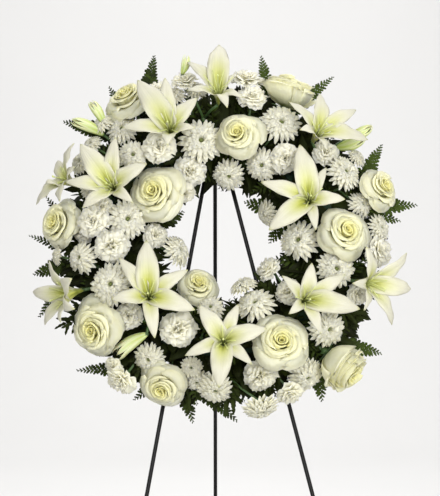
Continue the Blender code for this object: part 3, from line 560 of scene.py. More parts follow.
def openModel(seed, shape, blank, petalOf):
    chance = np.random.default_rng(seed)
    pile = Pile()
    last = len(shape["layers"]) - 1
    for level, (count, *form) in enumerate(shape["layers"]):
        start = chance.uniform(0, 2 * pi)
        for i in range(count):
            turn = start + 2 * pi * (i + chance.normal(0, shape["scatter"])) / count
            surface = petalOf(chance, turn, *form)
            pile.petal(blank, surface, shape["wall"], (chance.random(), level / last, 0))
    addCores(pile, shape["cores"])
    return pile.joined()


# Roses

rose = {
    "layers": (  # petals, rim's reach and height, half turn, curl of the rim, kind
        (4, 1.02, -0.20, 1.10, 1.5, "guard"),
        (5, 0.89, -0.02, 0.90, 1.4, "guard"),
        (4, 0.71, 0.21, 1.12, 1.1, "cup"),
        (4, 0.57, 0.29, 1.12, 1.0, "cup"),
        (3, 0.44, 0.34, 1.45, 0.9, "cup"),
        (3, 0.32, 0.37, 1.45, 0.7, "cup"),
        (2, 0.21, 0.38, 2.20, 0.4, "cup"),
        (2, 0.11, 0.37, 2.60, 0.1, "cup"),
    ),
    "bellLayers": (  # of a rose that is still closed
        (4, 0.90, 0.06, 0.95, 2.2, "bell"),
        (4, 0.84, 0.25, 0.98, 1.8, "bell"),
        (4, 0.76, 0.38, 1.00, 1.4, "bell"),
        (3, 0.64, 0.45, 1.30, 1.0, "bell"),
        (3, 0.50, 0.47, 1.45, 0.8, "cup"),
        (3, 0.36, 0.47, 1.50, 0.6, "cup"),
        (2, 0.24, 0.47, 2.20, 0.4, "cup"),
        (2, 0.12, 0.45, 2.60, 0.2, "cup"),
    ),
    "kinds": {  # swell, waist, rim, rise before the rim, lowest point, tuck, lip
        "guard": (0.78, 0.66, 1.00, 0.34, -0.62, 0.09, 1.0),
        "cup": (0.92, 0.60, 1.04, 0.20, -0.45, 0.10, 0.25),
        "bell": (1.18, 1.10, 0.98, 0.12, -0.62, 0.08, 0.6),
    },
    "bells": {  # which roses are closed, and how long for their width
        "rose_far_lower_right": 1.4,
        "rose_top_right": 0.92,
    },
    "wall": 0.012,
    "scatter": 0.10,  # how unevenly petals stand round the head
    "fullness": 1,  # the petals' reach beyond the named radius
    "drop": 0.95,  # from the centre back to the stem, in radii
    "hips": (((-0.97, -0.86, -0.74, -0.62), (0.06, 0.14, 0.16, 0.10), 1, 10),),
    "sepals": 5,
    "openTint": 0.03,
    "bellTint": 0.12,
    "stem": 2.5,
}

# Heads here and below: across, up, radius, lift off the ring, tilt, then roll and heading.
# Without a heading a flower leans away from the wreath's middle.
roses = {
    "rose_top_centre": (30, 182, 39, 108, 14, 0, 140),
    "rose_upper_left": (-115, 80, 43, 104, 20, 40, 160),
    "rose_far_left": (-286, 26, 38, 112, 40, 10),
    "rose_lower_left": (-222, -159, 44, 112, 34, 70),
    "rose_bottom_left": (-104, -262, 35, 108, 42, 20),
    "rose_bottom_right": (105, -182, 45, 112, 10, 55, 60),
    "rose_right": (218, 10, 42, 110, 20, 0, 20),
    "rose_far_lower_right": (206, -219, 42, 112, 78, 30, -42),
    "rose_inner_bottom": (-39, -82, 32, 108, 24, 0, 60),
    "rose_top_right": (120, 257, 48, 100, 84, 0, 72),
    "rose_far_upper_left": (-163, 244, 42, 100, 48, 50, 124),
    "rose_far_right": (281, 87, 37, 114, 44),
}


def rosePetal(turn, reach, height, halfTurn, curl, kind, phase):
    swell, waist, rim, crown, floor, tuck, lipShare = rose["kinds"][kind]

    def surface(u, v):
        along = v * (1 - 0.13 * np.abs(u) ** 2.6)
        late = smooth(0.4, 1.0, along)
        radius = bezier(0.06, reach * swell, reach * waist, reach * rim, along)
        rise = bezier(floor, floor + 0.08, height + crown, height, along)
        rise = rise + (0.035 * np.sin(u * 3.2 + phase) + 0.04 * u) * late
        lip = smooth(0.66, 1.0, along) ** 1.4 * lipShare
        lip = np.maximum(lip, smooth(0.65, 1.0, np.abs(u)) * smooth(0.35, 0.9, along) * 0.5)
        radius = radius + curl * 0.13 * lip
        rise = rise - curl * 0.11 * lip ** 2.5
        point = 0.045 * curl * np.exp(-(u / 0.3) ** 2) * smooth(0.8, 1.0, along)
        ripple = 0.03 * reach * np.sin(u * 2.6 + phase * 1.7) * late
        radius = radius * (1 - tuck * u) + point + ripple
        return ringed(radius, rise, turn + u * halfTurn * (0.62 + 0.38 * along))
    return surface


def roseModel(seed, layers):
    chance = np.random.default_rng(seed)
    pile = Pile()
    for level, (count, reach, height, halfTurn, curl, kind) in enumerate(layers):
        start = level * 1.13 + chance.uniform(0, 1)
        for i in range(count):
            turn = start + 2 * pi * i / count + chance.normal(0, rose["scatter"])
            surface = rosePetal(turn, reach * chance.uniform(0.93, 1.05),
                                height + chance.normal(0, 0.035),
                                halfTurn * chance.uniform(0.92, 1.08),
                                curl * chance.uniform(0.6, 1.3), kind, chance.uniform(0, 2 * pi))
            layer = level / (len(layers) - 1)
            pile.petal(roseBlank, surface, rose["wall"], (chance.random(), layer, 0))
    for i in range(rose["sepals"]):
        turn = 2 * pi * i / rose["sepals"]

        def sepal(u, v):
            return ringed(0.06 + 0.60 * v, -0.72 + 0.10 * v - 0.12 * v * v, turn,
                          aside=0.10 * u * (1 - v) ** 0.7 * (1 - 0.2 * v))
        pile.petal(leafBlank, sepal, 0.02, (chance.random(), 0, 0), 1)
    addCores(pile, rose["hips"])
    return pile.joined()


def stretched(model, longer):
    points = model[0].copy()
    points[:, 2] = np.where(points[:, 2] > -0.6, (points[:, 2] + 0.6) * longer - 0.6, points[:, 2])
    return [points, *model[1:]]


# Spray chrysanthemums

mum = {
    "layers": (  # petals, tip's reach and height, rise of the middle
        (19, 1.02, -0.14, 0.06),
        (19, 0.95, 0.00, 0.08),
        (17, 0.82, 0.12, 0.10),
        (15, 0.65, 0.22, 0.10),
        (12, 0.47, 0.29, 0.08),
        (8, 0.28, 0.31, 0.05),
    ),
    "halfWidth": 0.105,
    "wall": 0.014,
    "scatter": 0.10,
    "drop": 0.42,
    "fullness": 1.12,
    "cores": (  # cup and eye: heights, radii, slot, sides
        ((-0.42, -0.30, -0.14, -0.06), (0.08, 0.20, 0.26, 0.14), 1, 10),
        ((0.0, 0.16, 0.21, 0.23), (0.09, 0.10, 0.07, 0.02), 2, 8),
    ),
    "finishes": ("mum", "stem", "mumEye"),
    "slotName": "chrysanthemum_petal",
    "stems": (2.4, 1.9),
}

mums = {
    "chrysanthemums_top": (
        (14, 110, 28, 84, -34), (72, 128, 28, 84, -20, 8), (105, 200, 35, 92, 12, 4),
    ),
    "chrysanthemums_top_left": ((-35, 170, 36, 80, 0), (-84, 248, 22, 84, 34)),
    "chrysanthemums_upper_left": (
        (-154, 144, 27, 82, 4, 6), (-172, 190, 27, 98, 22), (-226, 163, 19, 96, 40),
        (-244, 132, 23, 98, 38, 5),
    ),
    "chrysanthemums_upper_right": (
        (215, 114, 31, 92, 30, 3), (244, 57, 25, 82, 40), (238, 140, 19, 100, 50),
    ),
    "chrysanthemums_inner_right": ((82, 42, 25, 104, -62), (138, -4, 35, 86, -20, 4)),
    "chrysanthemums_right": ((201, -54, 32, 90, 8), (277, 18, 23, 104, 42)),
    "chrysanthemums_inner_bottom": ((61, -117, 34, 88, -30, 5), (39, -84, 24, 112, -58)),
    "chrysanthemums_lower_right": ((186, -158, 31, 92, 30), (149, -240, 31, 100, 44, 5)),
    "chrysanthemums_bottom": (
        (70, -296, 31, 116, 66), (-10, -263, 30, 92, 44), (-42, -250, 23, 80, 40, 5),
    ),
    "chrysanthemum_lower_left": ((-126, -211, 27, 82, 26),),
    "chrysanthemums_left": (
        (-191, -82, 35, 92, 12), (-243, -35, 29, 90, 34, 4), (-287, -32, 16, 106, 64),
    ),
    "chrysanthemums_inner_left": ((-164, 33, 33, 84, -8, 6), (-77, -23, 29, 112, -50)),
}


def mumPetal(chance, turn, reach, height, arch):
    reach = reach * chance.uniform(0.90, 1.03)
    height = height + chance.normal(0, 0.03)
    halfWidth = mum["halfWidth"] * chance.uniform(0.9, 1.1)
    twist = chance.normal(0, 0.03)

    def surface(u, v):
        radius = bezier(0.05, 0.05 + reach * 0.30, reach * 0.66, reach, v)
        rise = bezier(-0.16, height + arch * 2.2, height + arch * 1.6, height, v)
        width = halfWidth * (0.30 + 0.70 * smooth(0.0, 0.75, v))
        width = width * np.sqrt(np.clip(1.02 - v ** 7, 0.05, 1))
        return ringed(radius, rise, turn, aside=u * width + twist * v * v,
                      ahead=width * 0.35 * u * u)
    return surface


# Miniature carnations

carnation = {
    "layers": (  # petals, rim's reach and height, half width of the fan
        (5, 1.02, -0.16, 0.70),
        (5, 0.88, 0.04, 0.62),
        (4, 0.68, 0.20, 0.56),
        (4, 0.48, 0.32, 0.46),
        (3, 0.28, 0.39, 0.34),
        (3, 0.12, 0.40, 0.24),
    ),
    "ruffle": 0.12,
    "teeth": 0.03,
    "wall": 0.014,
    "scatter": 0.08,
    "drop": 0.85,
    "fullness": 1.20,
    "cores": (
        ((-0.86, -0.74, -0.55, -0.30, -0.20), (0.09, 0.17, 0.20, 0.16, 0.10), 1, 10),
    ),
    "finishes": ("carnation", "stem"),
    "slotName": "carnation_petal",
    "stems": (2.2, 1.8),
}

carnations = {
    "carnations_top_left": (
        (-108, 160, 26, 92, 0), (-55, 116, 26, 84, -20), (-62, 78, 17, 112, -40),
    ),
    "carnations_left": (
        (-224, 30, 25, 92, 18), (-240, 10, 18, 76, 28), (-191, -14, 27, 92, 0),
        (-209, 55, 17, 86, 10), (-114, 5, 20, 94, -28),
    ),
    "carnations_inner_lower_left": ((-74, -159, 28, 90, -6), (-162, -136, 22, 78, 10)),
    "carnation_bottom_left": ((-175, -250, 25, 120, 60),),
    "carnation_top": ((55, 247, 24, 106, 30),),
    "carnations_upper_right": ((112, 140, 24, 92, -6), (184, 150, 22, 84, 20)),
    "carnations_bottom_right": ((70, -241, 26, 92, 30), (122, -273, 21, 112, 58)),
    "carnations_inner_right": ((82, -53, 20, 100, -48), (118, -94, 20, 80, -20)),
    "carnations_right": ((240, -98, 18, 92, 34), (277, -22, 26, 98, 40)),
}


def carnationPetal(chance, turn, reach, height, halfWidth):
    reach = reach * chance.uniform(0.90, 1.04)
    height = height + chance.normal(0, 0.04)
    halfWidth = halfWidth * chance.uniform(0.9, 1.12)
    phase = chance.uniform(0, 2 * pi)

    def surface(u, v):
        column = np.round((u + 1) * 4)
        along = v * (1 - 0.10 * u * u - carnation["teeth"] * (column % 2) * v ** 4)
        radius = bezier(0.04, 0.10, reach * 0.5, reach, along)
        rise = bezier(-0.60, -0.05, height * 0.8 + 0.08, height, along)
        wave = np.sin(u * 4.0 + phase) + 0.6 * np.sin(u * 8.6 + phase * 2)
        wave = carnation["ruffle"] * v ** 1.6 * wave
        steep = min(0.9, 0.25 + height * 1.6)
        return ringed(radius + wave * steep, rise, turn, ahead=wave * (1.1 - steep),
                      aside=u * (0.05 + (halfWidth - 0.05) * along ** 1.3))
    return surface


# Lilies

lily = {
    "wideHalf": 0.205,  # half width of the three broad tepals, share of their length
    "narrowHalf": 0.16,
    "throatDepth": 15,
    "wall": 0.9,
    "wave": 0.07,
    "tipForward": 24,
    "filament": 0.9,
    "filamentReach": 0.24,  # shares of the longest tepal
    "filamentRise": 0.38,
    "pistilRise": 0.50,
    "pistil": (1.2, 0.9, 0.9, 2.4, 1.6),
    "stem": 2.8,
    "forkedStem": 3.2,
    "branch": 2.4,
    "budRows": (0, 0.08, 0.25, 0.45, 0.62, 0.78, 0.9, 0.97, 1),
    "budWidths": (0.26, 0.46, 0.74, 0.95, 1.0, 0.82, 0.52, 0.26, 0.10),
}

# Open flowers: across, up, lift, tilt, heading, breadth, tips. Tips are across and up from the
# throat, with a third number where they don't come forward as usual.
lilies = {
    "lily_top_left": (
        (-88, 186, 100, 10, None, 1.0,
         ((-58, 90), (-10, 94), (46, 59), (-85, 8), (43, 6, 34), (-6, -24, 44))),
    ),
    "lily_top": (
        (-5, 246, 104, 34, None, 0.86,
         ((2, 92), (-54, 62), (-55, 12), (44, 0), (16, -18, 44), (33, 41))),
    ),
    "lily_upper_left": (
        (-188, 86, 102, 12, None, 1.0,
         ((-58, 78), (3, 90), (-84, 12), (-54, -33), (58, 44), (34, -24, 34))),
        (-262, 97, 104, 60, None, 1.4,
         ((-24, 38), (5, 69, 34), (-61, -38), (-20, -33), (6, 27), (-45, -3, 40))),
    ),
    "lily_upper_right": (
        (166, 177, 112, 30, None, 0.9,
         ((-47, 61), (7, 75), (70, 47), (91, -5), (-28, 12, 40), (18, -24))),
    ),
    "lily_right": (
        (154, 63, 104, 6, 80, 1.0,
         ((-16, 100), (30, 60), (63, 5), (12, -49), (-70, -49), (-84, 35))),
    ),
    "lily_left": (
        (-126, -105, 104, 6, 90, 1.0,
         ((-5, 101), (-52, 70), (68, 49), (80, -21), (10, -70), (-66, -2))),
    ),
    "lily_bottom": (
        (4, -184, 104, 8, 90, 1.05,
         ((-42, 66), (26, 68), (76, 26), (50, -37), (-8, -78), (-67, -22))),
    ),
    "lily_lower_right": (
        (145, -110, 106, 10, 0, 1.0,
         ((14, 66), (72, 46), (98, -14), (30, -58), (-26, -23), (-38, 44))),
    ),
    "lily_far_right": (
        (248, -77, 108, 52, None, 0.9,
         ((6, 62), (77, 51, 42), (84, -12, 46), (51, -75, 40), (2, -50), (-18, -2, 26))),
    ),
    "lily_far_left": (
        (-254, -94, 108, 58, 200, 0.88,
         ((-75, 0, 45), (-54, -58, 42), (-26, -54, 44), (-7, 23, 50), (-47, 55), (-2, -30, 60))),
    ),
    "lily_far_upper_left": (),
}

# Buds: base across, up, lift, tip across, up, lift, radius, how far it opens
lilyBuds = {
    "lily_top": ((-68, 287, 92, -59, 320, 116, 8, 0.5),),
    "lily_upper_right": (
        (222, 176, 92, 265, 196, 112, 10, 0.2),
        (198, 158, 86, 254, 176, 100, 11, 0.1),
    ),
    "lily_left": ((-130, -168, 80, -184, -206, 98, 12, 0.9),),
    "lily_far_upper_left": (
        (-205, 200, 84, -229, 239, 112, 9, 0.5),
        (-206, 181, 84, -262, 206, 108, 10, 0.4),
    ),
}


def tepalSurface(centre, axis, spread, end, halfWidth, outer, phase):
    length = np.linalg.norm(end)
    side = unit(np.cross(axis, spread))
    start = spread * 8 + axis * 7
    bend1 = start + axis * length * 0.30 + spread * length * 0.16
    bend2 = end - spread * length * 0.34 + axis * length * 0.16
    root = spread * 2.5 - axis * lily["throatDepth"]
    t = np.linspace(0, 1, 40)[:, None]
    neck = bezier(root, root + axis * 8, start - unit(bend1 - start) * 6, start, t[::4])
    path = np.concatenate((neck[:-1], bezier(start, bend1, bend2, end, t)))
    run = np.concatenate(([0], np.cumsum(np.linalg.norm(np.diff(path, axis=0), axis=1))))
    run /= run[-1]
    ways = np.gradient(path, run, axis=0)
    ways /= np.linalg.norm(ways, axis=1, keepdims=True)

    def surface(u, v):
        spot = np.stack([np.interp(v, run, path[:, i]) for i in range(3)], axis=1)
        way = np.stack([np.interp(v, run, ways[:, i]) for i in range(3)], axis=1)
        face = np.cross(way, side)
        half = halfWidth * length * np.maximum(v ** 0.75 * (1 - v) ** 0.85 / 0.331, 0.04)
        aside = (u * half)[:, None]
        height = spot @ axis
        flat = spot - height[:, None] * axis
        reach = np.maximum(np.linalg.norm(flat, axis=1), 1)[:, None]
        turn = aside / reach
        wrapped = height[:, None] * axis + flat * np.cos(turn) + side * reach * np.sin(turn)
        hold = (1 - smooth(0.15, 0.55, v))[:, None]
        spot = (spot + side * aside) * (1 - hold) + wrapped * hold
        groove = 0.15 * (1 - np.exp(-(u / 0.20) ** 2)) * smooth(0.1, 0.4, v) * (1 - 0.5 * v)
        droop = -0.42 * u * u * smooth(0.3, 1.0, v)
        cup = 0.16 * u * u * (1 - smooth(0.2, 0.8, v))
        wave = lily["wave"] * np.abs(u) ** 3 * np.sin(v * 19 + phase + u * 1.5) * smooth(0.25, 0.6, v)
        lift = half * (groove + droop + cup + wave * 2.2) - outer * 1.2 * (1 - smooth(0.3, 0.8, v))
        return centre + spot + face * lift[:, None]
    return surface


def addLily(pile, flower, chance):
    across, up, lift, tilt, heading, breadth, tips = flower
    centre = headPlace(across, up, lift)
    axis = facing(centre, tilt, heading)
    first, second = sideways(axis)
    tepals = []
    for tip in tips:
        flat = np.array((tip[0], tip[1], 0.0))
        forward = tip[2] if len(tip) > 2 else lily["tipForward"]
        rise = (forward - flat.dot(axis)) / axis[2]
        end = seenPoint(across + tip[0], up + tip[1], centre[2] + rise) - centre
        spread = squareTo(end, axis)
        tepals.append((atan2(spread.dot(second), spread.dot(first)), end, spread))
    tepals.sort(key=lambda tepal: tepal[0])
    longest = max(np.linalg.norm(end) for _, end, _ in tepals)
    for k, (turn, end, spread) in enumerate(tepals):
        half = breadth * (lily["wideHalf"] if k % 2 else lily["narrowHalf"])
        surface = tepalSurface(centre, axis, spread, end, half, 1 - k % 2, chance.uniform(0, 6))
        tone = (chance.random(), k % 2, chance.uniform(0.1, 0.9))
        pile.petal(lilyBlank, surface, lily["wall"], tone)
        following = tepals[(k + 1) % len(tepals)][0]
        middle = turn + ((following - turn) % (2 * pi)) / 2
        out = first * cos(middle) + second * sin(middle)
        bend = out * longest * 0.06 + axis * longest * 0.18
        tip = out * longest * lily["filamentReach"] + axis * longest * lily["filamentRise"]
        pile.tube([centre + out * 2.5 - axis * 6, centre + bend, centre + tip * 0.78 - out * 2,
                   centre + tip], lily["filament"], 2, 4)
    top = centre + axis * longest * lily["pistilRise"] - np.array((0, 6, 0))
    pile.tube([centre - axis * 8, centre + axis * longest * 0.25, top - axis * 3, top,
               top + axis * 1.8], lily["pistil"], 2, 12, 0.35)
    base = centre - axis * 16
    pile.tube([base - axis, base + axis * 3], [2.8, 3.4], 1, 8)
    return base


def addBud(pile, bud, chance):
    baseAcross, baseUp, baseLift, tipAcross, tipUp, tipLift, radius, openness = bud
    start = headPlace(baseAcross, baseUp, baseLift)
    run = headPlace(tipAcross, tipUp, tipLift) - start
    axis = unit(run)
    first, second = sideways(axis)
    bow = unit(np.cross(run, outAxis)) * 0.05 * np.linalg.norm(run)

    def petalOf(turn, outer):
        def surface(u, v):
            swell = np.interp(v, lily["budRows"], lily["budWidths"]) * (0.95 + 0.07 * outer)
            flare = openness * (0.35 + 0.35 * outer) * smooth(0.55, 1.0, v) ** 1.5
            reach = radius * (swell + flare)
            angle = turn + u * (0.62 + 0.12 * outer) * np.clip(1.01 - v ** 3.4, 0.02, 1) ** 0.8
            spine = start + run * v[:, None] * (0.94 + 0.06 * outer) + bow * (4 * v * (1 - v))[:, None]
            around = first * np.cos(angle)[:, None] + second * np.sin(angle)[:, None]
            return spine + around * reach[:, None]
        return surface
    for k in range(6):
        turn = k * pi / 3 + chance.uniform(-0.08, 0.08)
        tone = (chance.random(), k % 2, 1 - openness)
        pile.petal(budBlank, petalOf(turn, k % 2), lily["wall"], tone, 3)
    pile.tube([start - axis * 2, start + axis * 3], [radius * 0.30, radius * 0.36], 1, 8)
    return start


# Leatherleaf fern and the leaves that fill the gaps between the flowers, near-black partly as their
# own dark green and partly as painted shade in those gaps

fern = {
    "leafletGap": 7.6,  # between two pairs along a rib
    "leafletReach": 1.85,  # share of the pinna's spread
    "leafletWidth": 0.29,
    "ribStart": 0.16,
    "wall": 0.5,
    "fork": 51.2,  # where the pinnae part, from the ring's centre line
    "stem": (2.2, 2.0, 1.6),
    "rightTint": 0.45,  # painted light: fronds at the right are painted a lighter green where they catch more light
}

ferns = {  # root across, up, swing; tips across, up, out, spread
    "fern_upper_left": ((-115, 147, 97), (
        (-275, 203, -10, 14), (-196, 264, -20, 11), (-117, 319, -12, 14),
    )),
    "fern_upper_right": ((76, 170, 97), ((70, 318, -14, 12), (196, 282, -18, 11))),
    "fern_right": ((180, 50, 97), ((281, 163, -16, 13), (342, 58, -14, 12), (313, 30, -20, 11))),
    "fern_lower_right": ((130, -134, 97), ((280, -202, -16, 13), (177, -284, -18, 14))),
    "fern_bottom": ((-60, -177, 97), (
        (28, -320, -14, 13), (-49, -322, -18, 12), (-152, -283, -18, 11), (-252, -232, -16, 12),
    )),
    "fern_left": ((-185, -20, 97), (
        (-318, -138, -16, 12), (-327, -64, -18, 13), (-336, 4, -16, 8), (-306, 72, -18, 10),
    )),
    "fern_inner_left": ((-180, 40, -97), (
        (-67, 46, -10, 13), (-97, 20, -16, 10), (-62, -40, -10, 11),
    )),
    "fern_inner_right": ((170, 75, -97), ((42, 62, -10, 13), (86, -8, -10, 11))),
}

toothRows = np.linspace(0, 1, 7)
toothWidths = np.array((0.30, 1.0, 0.62, 0.86, 0.50, 0.60, 0.05))


def addLeaflet(pile, root, way, face, reach, width, chance, tint, blank,
               teeth=True, bow=0.12, fold=0.18):
    face = squareTo(face, way)
    across = np.cross(face, way)

    def surface(u, v):
        if teeth:
            half = width * np.interp(v, toothRows, toothWidths)
        else:
            half = width * np.maximum(np.sin(pi * np.clip(v, 0, 1) ** 0.8), 0.06)
        lift = -bow * reach * v * v + fold * half * np.abs(u)
        return root + way * (reach * v)[:, None] + across * (u * half)[:, None] + face * lift[:, None]
    pile.petal(blank, surface, fern["wall"], (chance.random(), 0, tint))


def addPinna(pile, root, tip, spread, chance, tint, blank, gap, ribSlot=1):
    run = tip - root
    length = np.linalg.norm(run)
    way = unit(run)
    side = unit(np.cross(way, outAxis))
    face = np.cross(side, way)

    def onRib(t):
        return root + run * t + face * 0.10 * length * 4 * t * (1 - t)
    joints = 9 if ribSlot else 5
    rib = [onRib(t) for t in np.linspace(0, 1, joints)]
    pile.tube(rib, np.linspace(1.2, 0.45, joints), ribSlot, 4)
    start = fern["ribStart"]
    pairs = max(4, round(length * (1 - start) / gap))
    for i in range(pairs):
        share = i / (pairs - 1)
        t = start + (0.985 - start) * share ** 0.85
        here = unit(onRib(min(t + 0.02, 1)) - onRib(t - 0.02))
        reach = spread * fern["leafletReach"] * (0.62 + 0.38 * min(1, share * 4))
        reach *= 1 - share ** 1.9 * 0.82
        for hand in (-1, 1):
            angle = radians(62 - 22 * share) + chance.normal(0, 0.06)
            leafWay = side * hand * sin(angle) + here * cos(angle)
            leafWay = unit(leafWay + face * chance.normal(0.02, 0.06))
            long = reach * chance.uniform(0.9, 1.08)
            addLeaflet(pile, onRib(t) + here * hand * 1.2, leafWay, face, long,
                       long * fern["leafletWidth"], chance, tint, blank)


def makeFerns():
    chance = np.random.default_rng(11)
    for name, (root, tips) in ferns.items():
        pile = Pile()
        spine = nearestSpine(root)
        way = unit(spine) * sin(radians(root[2])) + outAxis * cos(radians(root[2]))
        low = spine + way * wreath["stemDepth"]
        fork = spine + way * fern["fork"]
        pile.tube([low, fork - way * 6, fork + way * 2], fern["stem"], 1, 8)
        # fronds named right get painted light, a lighter green
        tint = fern["rightTint"] if "right" in name else 0.0
        for across, up, rise, spread in tips:
            tip = seenPoint(across, up, rise)
            addPinna(pile, fork, tip, spread, chance, tint, leafBlank, fern["leafletGap"])
        addPiece(camel(name), pile, ("fern", "stem"), "fern_green", name)
    print("ferns made")


filler = {
    "leaves": 1250,
    "longest": 100,
    "halfWidth": (8, 13),
    "swings": (-72, 95),  # degrees from straight out of the foam, where leaves grow
    "stray": 34,
    "inward": (-90, -8),  # how far a leaf's tip strays from the ring's centre line
    "middle": (-22, 60),
    "outward": (38, 108),
    "topOut": 92,
    "fronds": 290,
    "frondSpread": (8, 12),
    "frondGap": 8.4,
    "twigLeaf": (24, 38),
    "twigLeaves": ((0, 0), (8, 0.75), (8, -0.75), (26, 0.9), (26, -0.9)),  # back, turn
    "twigLeafWidth": 0.17,
    "twigSwings": (40, 85),
    "twigOut": (8, 52),
    "tufts": (  # across, up, spread, twigs: where foliage shows beyond the flowers
        (18, -292, 15, 9), (92, -262, 16, 9), (-152, -244, 15, 9), (-272, -148, 15, 9),
        (232, -156, 18, 12), (-70, -290, 13, 5), (-264, -30, 16, 7), (250, -20, 14, 5),
        (-92, -8, 10, 6), (66, -72, 12, 8),
    ),
}


def leafRoot(radial, swing):
    way = radial * sin(swing) + outAxis * cos(swing)
    return radial * wreath["ringRadius"] + way * wreath["leafDepth"]


def fillerPlace(chance, turn, lowest):
    radial = np.array((cos(turn), sin(turn), 0))
    along = np.array((-sin(turn), cos(turn), 0))
    swing = radians(chance.uniform(*filler["swings"]))
    side = "inward" if swing < 0 else "outward" if swing > 0.5 else "middle"
    near, far = filler[side]
    beyond = near + (far - near) * (sqrt(chance.random()) if side == "outward" else chance.random())
    base = leafRoot(radial, swing)
    tip = (radial * (wreath["ringRadius"] + beyond) + along * chance.normal(0, filler["stray"])
           + outAxis * chance.uniform(lowest, filler["topOut"] - abs(beyond) * 0.5))
    face = outAxis + radial * chance.normal(0, 0.5) + along * chance.normal(0, 0.5)
    return base, tip, face, side


def addTwig(pile, base, tip, chance):
    way = unit(tip - base)
    reach = chance.uniform(*filler["twigLeaf"])
    end = tip - way * reach
    side = unit(np.cross(way, outAxis))
    face = unit(outAxis - outAxis.dot(way) * way + side * chance.normal(0, 0.4))
    pile.tube([base, (base + end) / 2 + face * 3, end + way * 2], (1.4, 1.1, 0.8), 0, 4)
    for back, turn in filler["twigLeaves"]:
        leafWay = unit(way * cos(turn) + side * sin(turn) + face * chance.normal(0, 0.12))
        long = reach * chance.uniform(0.75, 1.05)
        # tint 0.4 paints the twigs' leaves partway to the lighter green: a painted highlight on
        # foliage that shows beyond the flowers
        addLeaflet(pile, end - way * back, leafWay, face, long, long * filler["twigLeafWidth"],
                   chance, 0.4, leafBlank, True, 0.16, 0.3)


def makeFiller():
    chance = np.random.default_rng(23)
    pile = Pile()
    for i in range(filler["leaves"]):
        turn = 2 * pi * (i + chance.uniform(0, 1)) / filler["leaves"]
        base, tip, face, side = fillerPlace(chance, turn, -6)
        outer = side == "outward"
        way = unit(tip - base)
        reach = min(np.linalg.norm(tip - base) * 1.05, filler["longest"])
        half = chance.uniform(*filler["halfWidth"]) * (1.25 if outer else 1)
        addLeaflet(pile, base, way, face, reach, half, chance, 0,
                   leafBlank if outer else shortLeafBlank, outer, 0.2, 0.25)
    for across, up, spread, twigs in filler["tufts"]:
        for _ in range(twigs):
            base = leafRoot(outward((across, up)), radians(chance.uniform(*filler["twigSwings"])))
            tip = seenPoint(across + chance.normal(0, spread), up + chance.normal(0, spread),
                            chance.uniform(*filler["twigOut"]))
            addTwig(pile, base, tip, chance)
    addPiece("underFoliage", pile, ("leaf",), "fern_green")

    pile = Pile()
    for i in range(filler["fronds"]):
        turn = 2 * pi * (i + chance.uniform(0, 1)) / filler["fronds"]
        base, tip = fillerPlace(chance, turn, -8)[:2]
        addPinna(pile, base, tip, chance.uniform(*filler["frondSpread"]), chance, 0.0,
                 shortLeafBlank, filler["frondGap"], 0)
    addPiece("underFronds", pile, ("fern",), "fern_green")
    print("filling leaves made")


roseBlank = Blank(7, 7)
mumBlank = Blank(2, 6)
carnationBlank = Blank(8, 4)
lilyBlank = Blank(10, 22)
budBlank = Blank(6, 10)
leafBlank = Blank(2, 6)
shortLeafBlank = Blank(2, 3)


def makeRoses():
    models = [roseModel(seed, rose["layers"]) for seed in (1, 2, 3)]
    bell = roseModel(4, rose["bellLayers"])
    chance = np.random.default_rng(5)
    for i, (name, head) in enumerate(roses.items()):
        pile = Pile()
        model, tint = models[i % 3], rose["openTint"]
        if name in rose["bells"]:
            model, tint = stretched(bell, rose["bells"][name]), rose["bellTint"]
        base = setFlower(pile, model, head, rose, chance, tint)
        addStems(pile, [base], rose["stem"], rose["stem"])
        addPiece(camel(name), pile, ("rose", "stem"), "rose_petal", name)
    print("roses made")


moreMums = {  # small blooms that only the finished scene has
    "moreChrysanthemumsTop": ((-42, 258, 19, 80, 30), (-208, 200, 20, 84, 40)),
    "moreChrysanthemumsUpperLeft": ((-185, 212, 18, 88, 36), (-228, 86, 19, 84, 24)),
    "moreChrysanthemumsBottom": ((-18, -122, 24, 84, -16), (-52, -226, 18, 84, 20)),
}
moreCarnations = {
    "moreCarnationsTop": ((45, 279, 26, 96, 50), (-112, 258, 22, 92, 42), (-64, 276, 21, 88, 44)),
    "moreCarnationsLowerLeft": ((-189, -224, 14, 108, 44),),
}


def makeSprays(shape, table, models, seed, replacing=True):
    chance = np.random.default_rng(seed)
    count = 0
    for name, heads in table.items():
        pile = Pile()
        bases = []
        for head in heads:  # lower blooms take more of the darker yellow-green base colour
            tint = 0.03 + 0.14 * max(0, -head[1]) / 300
            bases.append(setFlower(pile, models[count % 3], head, shape, chance, tint))
            count += 1
        addStems(pile, bases, *shape["stems"])
        nodes = [name] if replacing else []
        addPiece(camel(name), pile, shape["finishes"], shape["slotName"], *nodes)
    print(shape["slotName"], "pieces made")


def makeLilies():
    chance = np.random.default_rng(7)
    for name, flowers in lilies.items():
        pile = Pile()
        bases = [addLily(pile, flower, chance) for flower in flowers]
        bases += [addBud(pile, bud, chance) for bud in lilyBuds.get(name, ())]
        stem = lily["stem"] if len(bases) == 1 else lily["forkedStem"]
        addStems(pile, bases, stem, lily["branch"])
        addPiece(camel(name), pile, ("lily", "stem", "thread", "bud"), "lily_petal", name)
    print("lilies made")


makeRoses()
mumModels = [openModel(seed, mum, mumBlank, mumPetal) for seed in (31, 32, 33)]
makeSprays(mum, mums, mumModels, 13)
makeSprays(mum, moreMums, mumModels, 14, False)
carnationModels = [openModel(seed, carnation, carnationBlank, carnationPetal)
                   for seed in (41, 42, 43)]
makeSprays(carnation, carnations, carnationModels, 17)
makeSprays(carnation, moreCarnations, carnationModels, 18, False)
makeLilies()
makeFerns()
makeFiller()

# The tray's cross section is turned round the wreath's middle

